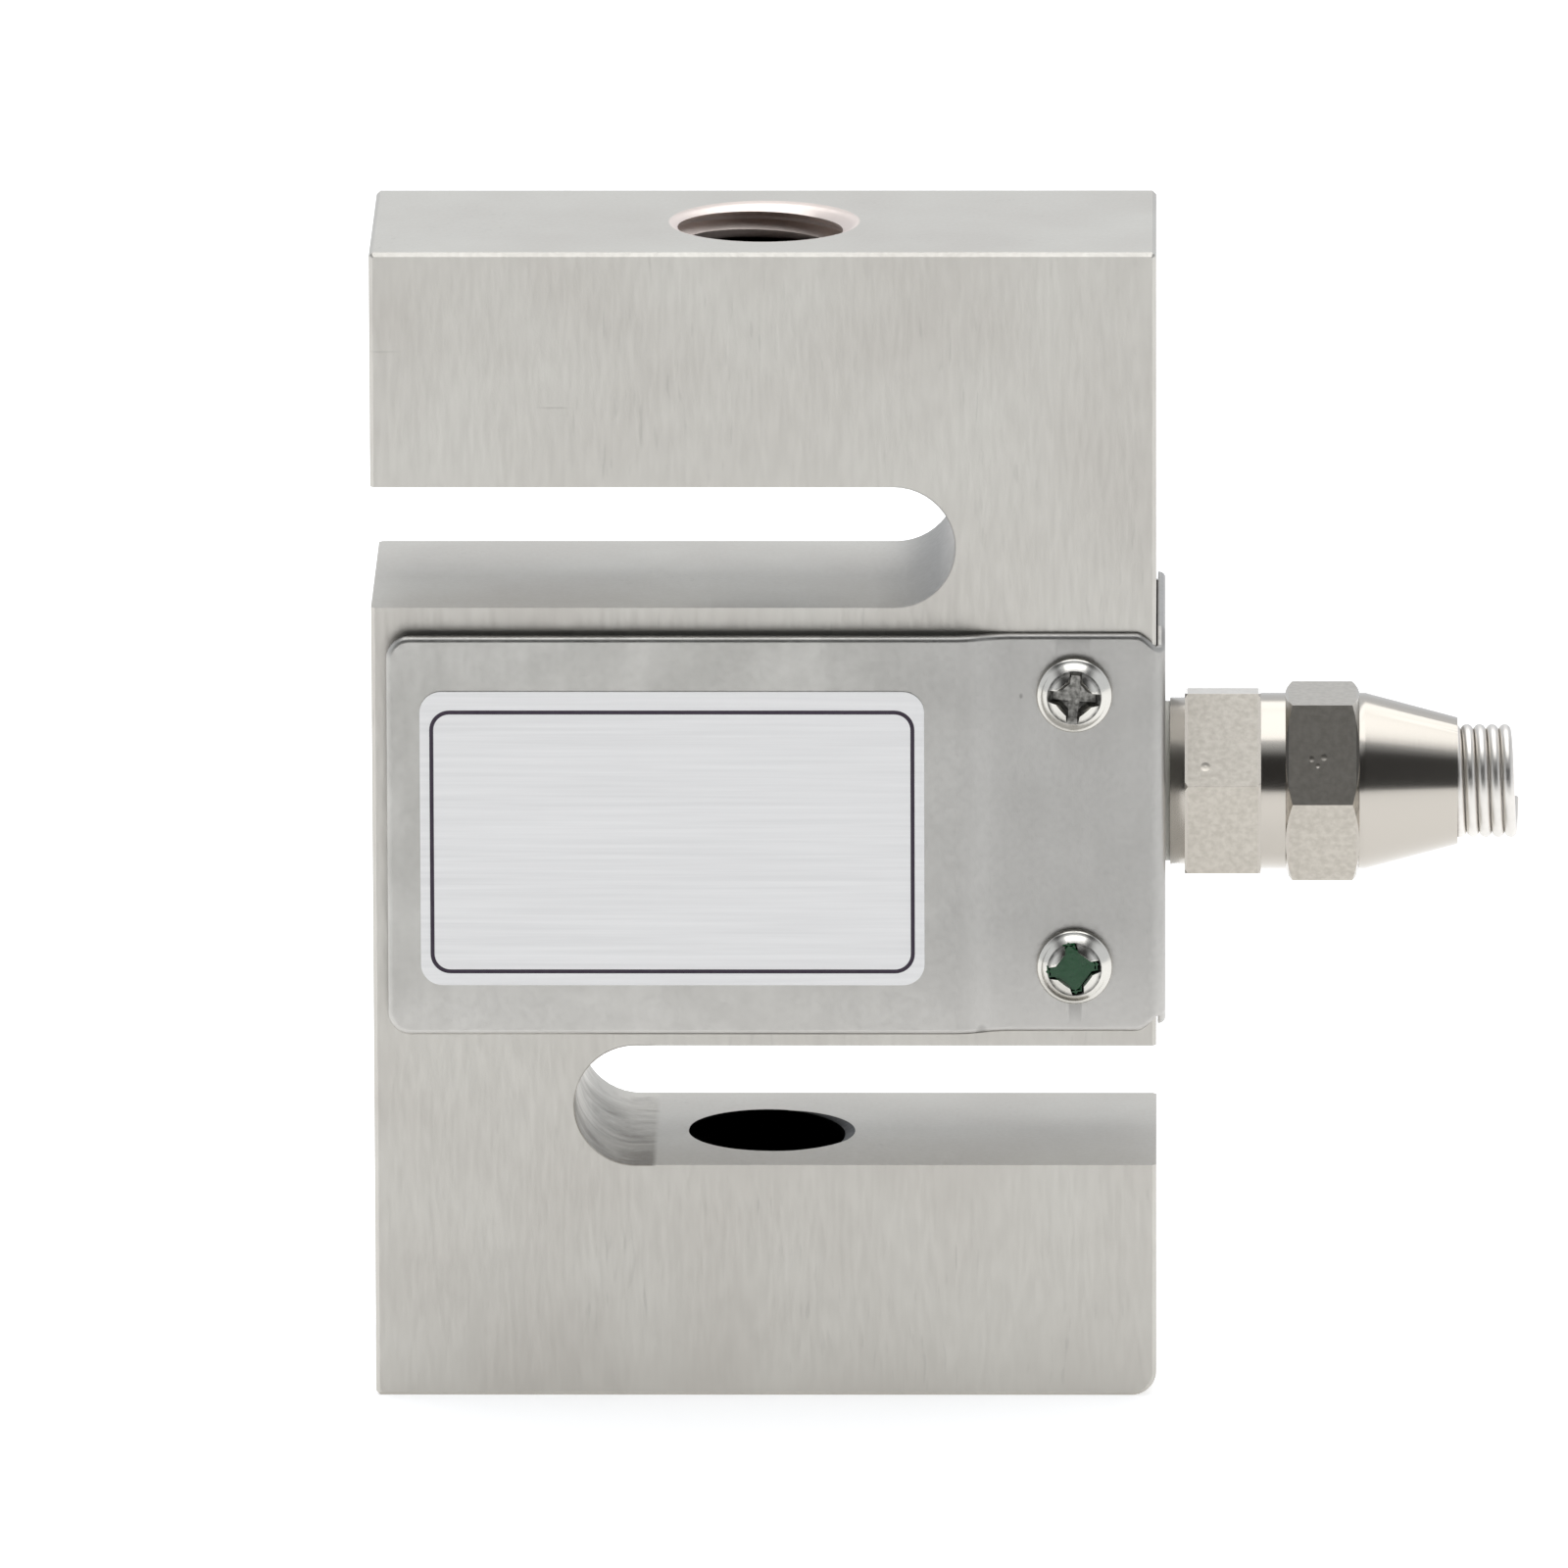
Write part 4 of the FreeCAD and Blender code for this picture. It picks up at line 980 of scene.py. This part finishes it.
def hexagon(name, start, end, degrees, chamfer, face_radius):
    """A hexagon bar about X, its corners turned off at both ends."""
    corner = HEX_FLATS / 2 / math.cos(math.radians(30))
    bar = lathe(name, (start, corner), [(end, corner)], 6)
    settle(bar, turn=(math.radians(degrees), 0, 0))
    steps = [(start + chamfer, corner), (end - chamfer, corner), (end, face_radius)]
    return combine(bar, lathe("turned", (start, face_radius), steps), "INTERSECT")


def gland_body():
    """Neck, hexagon and plain collar, bored through, with the thread for the cap nut."""
    shank_start, neck_start = element_high.x - 7.5 * MM, cover_high.x + 0.3 * MM
    hexagon_start, hexagon_end = 27.25 * MM, 32.2 * MM
    collar_end, thread_end, seat_start = 33.8 * MM, 39.8 * MM, 35.2 * MM
    name = "gland_body_nickel"
    piece = hexagon(name, hexagon_start, hexagon_end, GLAND_TURN, 0.2 * MM, 6.6 * MM)
    for name, start, end, radius in (
        ("neck", neck_start, hexagon_start + 0.5 * MM, 5.45 * MM),
        ("shank", shank_start, neck_start + 0.1 * MM, 3.9 * MM),
        ("collar", hexagon_end - 0.5 * MM, collar_end, COLLAR_RADIUS),
        ("thread", collar_end - 0.5 * MM, thread_end, 4.7 * MM),
    ):
        combine(piece, lathe(name, (start, radius), [(end, radius)]), "UNION")
    for name, start, end, radius in (
        ("bore", shank_start - 1 * MM, thread_end + 1 * MM, 2.6 * MM),
        ("seat", seat_start, thread_end + 1 * MM, SEAT_RADIUS),
    ):
        combine(piece, lathe(name, (start, radius), [(end, radius)]), "DIFFERENCE")
    round_edges(piece, GLAND_BREAK, 3, 25)
    settle(piece, (0, 0, GLAND_Z))
    return fit(piece, "nickel_brass", nickel, "gland_body")


def cap_nut():
    """Hexagon nut with a land and a long cone, bored in steps for seal and spring."""
    start, end = cap_low.x, cap_high.x
    hexagon_end, cone_start, shoulder_start = 38.6 * MM, 39.0 * MM, 40.9 * MM
    piece = hexagon("cap_nut_nickel", start, hexagon_end, 0, 0.45 * MM, 5.85 * MM)
    steps = [(cone_start, COLLAR_RADIUS), (end, 4.15 * MM)]
    combine(piece, lathe("cone", (hexagon_end - 0.5 * MM, COLLAR_RADIUS), steps), "UNION")
    for name, cut_start, cut_end, radius in (
        ("bore", start - 1 * MM, shoulder_start, 4.8 * MM),
        ("outlet", shoulder_start - 1 * MM, end + 1 * MM, 2.95 * MM),
        ("seat", end - 1.4 * MM, end + 1 * MM, SEAT_RADIUS),
    ):
        combine(piece, lathe(name, (cut_start, radius), [(cut_end, radius)]), "DIFFERENCE")
    round_edges(piece, GLAND_BREAK, 3, 25)
    settle(piece, (0, 0, GLAND_Z))
    return fit(piece, "nickel_brass", nickel, "cap_nut")


def gland_spring():
    """Round nickel-plated wire wound close, seated in the cap nut's mouth."""
    low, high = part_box("relief_spring")
    turns = (high.x - low.x - 2 * WIRE_RADIUS) / WIRE_PITCH
    piece = add(
        bpy.ops.mesh.primitive_circle_add,
        "relief_spring_wire",
        turn=(math.pi / 2, 0, 0),
        place=(low.x + WIRE_RADIUS, 0, high.z - WIRE_RADIUS - GLAND_Z),
        vertices=16,
        radius=WIRE_RADIUS,
        fill_type="NOTHING",
    )
    modify(
        piece,
        "SCREW",
        axis="X",
        angle=2 * math.pi * turns,
        screw_offset=WIRE_PITCH * turns,
        steps=round(STEPS_PER_TURN * turns),
        render_steps=round(STEPS_PER_TURN * turns),
    )
    settle(cap_ends(piece), (0, 0, GLAND_Z))
    return fit(piece, "spring_wire", spring_plate, "relief_spring")


def keep_solids():
    """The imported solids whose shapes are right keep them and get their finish."""
    finishes = {
        "front_cover_seal": sealant,
        "rear_cover_seal": sealant,
        "sealing_washer": nylon,
        "cable_seal": rubber,
        "thrust_ring": nylon,
        "potting_compound": silicone,
        "terminal_board": laminate,
        "trim_resistor": chip,
    }
    for where in ("upper_left", "lower_left", "upper_right", "lower_right"):
        finishes[where + "_gauge"] = foil
        finishes[where + "_lead"] = tinned
    for solid, material in finishes.items():
        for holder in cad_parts[solid].material_slots:
            holder.material = material


spring_element()
wrap_cover()
nameplate()
place_screws()
tamper_lacquer()
gland_body()
cap_nut()
gland_spring()
keep_solids()


# --- studio ---------------------------------------------------------------------------------------


def pale_floor():
    """Matt white floor that keeps the shadow; a little of its white is its own."""
    floor = add(bpy.ops.mesh.primitive_plane_add, "floor", size=12)
    material, tree, _ = new_material("pale_matt_floor")
    path = node(tree, "ShaderNodeLightPath").outputs
    seen = node(
        tree,
        "ShaderNodeMath",
        {"operation": "MAXIMUM"},
        {0: path["Is Camera Ray"], 1: path["Is Glossy Ray"]},
    )
    seen = node(
        tree,
        "ShaderNodeMath",
        {"operation": "MAXIMUM"},
        {0: seen, 1: path["Is Transmission Ray"]},
    )
    own = node(tree, "ShaderNodeMath", {"operation": "MULTIPLY", 1: 0.515}, {0: seen})
    settings = {"Base Color": colour("#F4F4F4"), "Roughness": 0.9, "Emission Color": (1, 1, 1, 1)}
    finish_with(tree, settings, {"Emission Strength": own})
    floor.data.materials.append(material)


def soft_dome():
    """Soft light from above, behind and both sides, and a dark wall behind the camera."""
    world = bpy.data.worlds.new("studio")
    bpy.context.scene.world = world
    world.use_nodes = True
    tree = world.node_tree
    tree.nodes.clear()
    way = node(tree, "ShaderNodeTexCoord").outputs["Generated"]
    axes = node(tree, "ShaderNodeSeparateXYZ", links={0: way})
    sideways = node(tree, "ShaderNodeMath", {"operation": "ABSOLUTE"}, {0: axes.outputs["X"]})
    low, high = math.sin(math.radians(43)), math.sin(math.radians(72))
    above, behind, beside = (
        node(
            tree,
            "ShaderNodeMapRange",
            {"interpolation_type": "SMOOTHSTEP", 1: dark, 2: light},
            {0: axis},
        )
        for axis, dark, light in (
            (axes.outputs["Z"], low, high),
            (axes.outputs["Y"], -0.05, 0.7),
            (sideways, 0.5, 0.85),
        )
    )
    lit = node(tree, "ShaderNodeMath", {"operation": "MAXIMUM"}, {0: above, 1: behind})
    lit = node(tree, "ShaderNodeMath", {"operation": "MAXIMUM"}, {0: lit, 1: beside})
    level = node(
        tree,
        "ShaderNodeMix",
        {"data_type": "RGBA", 6: (0.045, 0.045, 0.045, 1), 7: (0.79, 0.82, 0.86, 1)},
        {0: lit},
    )
    light = node(tree, "ShaderNodeBackground", links={"Color": level.outputs[2]})
    node(tree, "ShaderNodeOutputWorld", links={"Surface": light})


def softbox():
    """One large lamp overhead, a little behind and to the right."""
    lamp = bpy.data.lights.new("softbox", "AREA")
    lamp.shape = "RECTANGLE"
    lamp.size = 1.15
    lamp.size_y = 2.05
    lamp.energy = 9.8
    holder = bpy.data.objects.new("softbox", lamp)
    bpy.context.scene.collection.objects.link(holder)
    holder.location = (0.08, 0.52, 1.3)


def camera():
    """A long lens, in front and a little above."""
    view = bpy.data.cameras.new("camera")
    view.sensor_width = 36
    view.lens = 635.08
    view.clip_end = 20
    holder = bpy.data.objects.new("camera", view)
    bpy.context.scene.collection.objects.link(holder)
    holder.location = (27.323 * MM, -1750.33 * MM, 464.267 * MM)
    tilt, pan, roll = 0.2385, -0.01495, -0.00334
    ahead = Vector(
        (math.sin(pan) * math.cos(tilt), math.cos(pan) * math.cos(tilt), -math.sin(tilt))
    )
    holder.rotation_euler = ahead.to_track_quat("-Z", "Y").to_euler()
    holder.rotation_euler.rotate_axis("Z", roll)
    bpy.context.scene.camera = holder


pale_floor()
soft_dome()
softbox()
camera()
bpy.context.scene.view_settings.view_transform = "Standard"
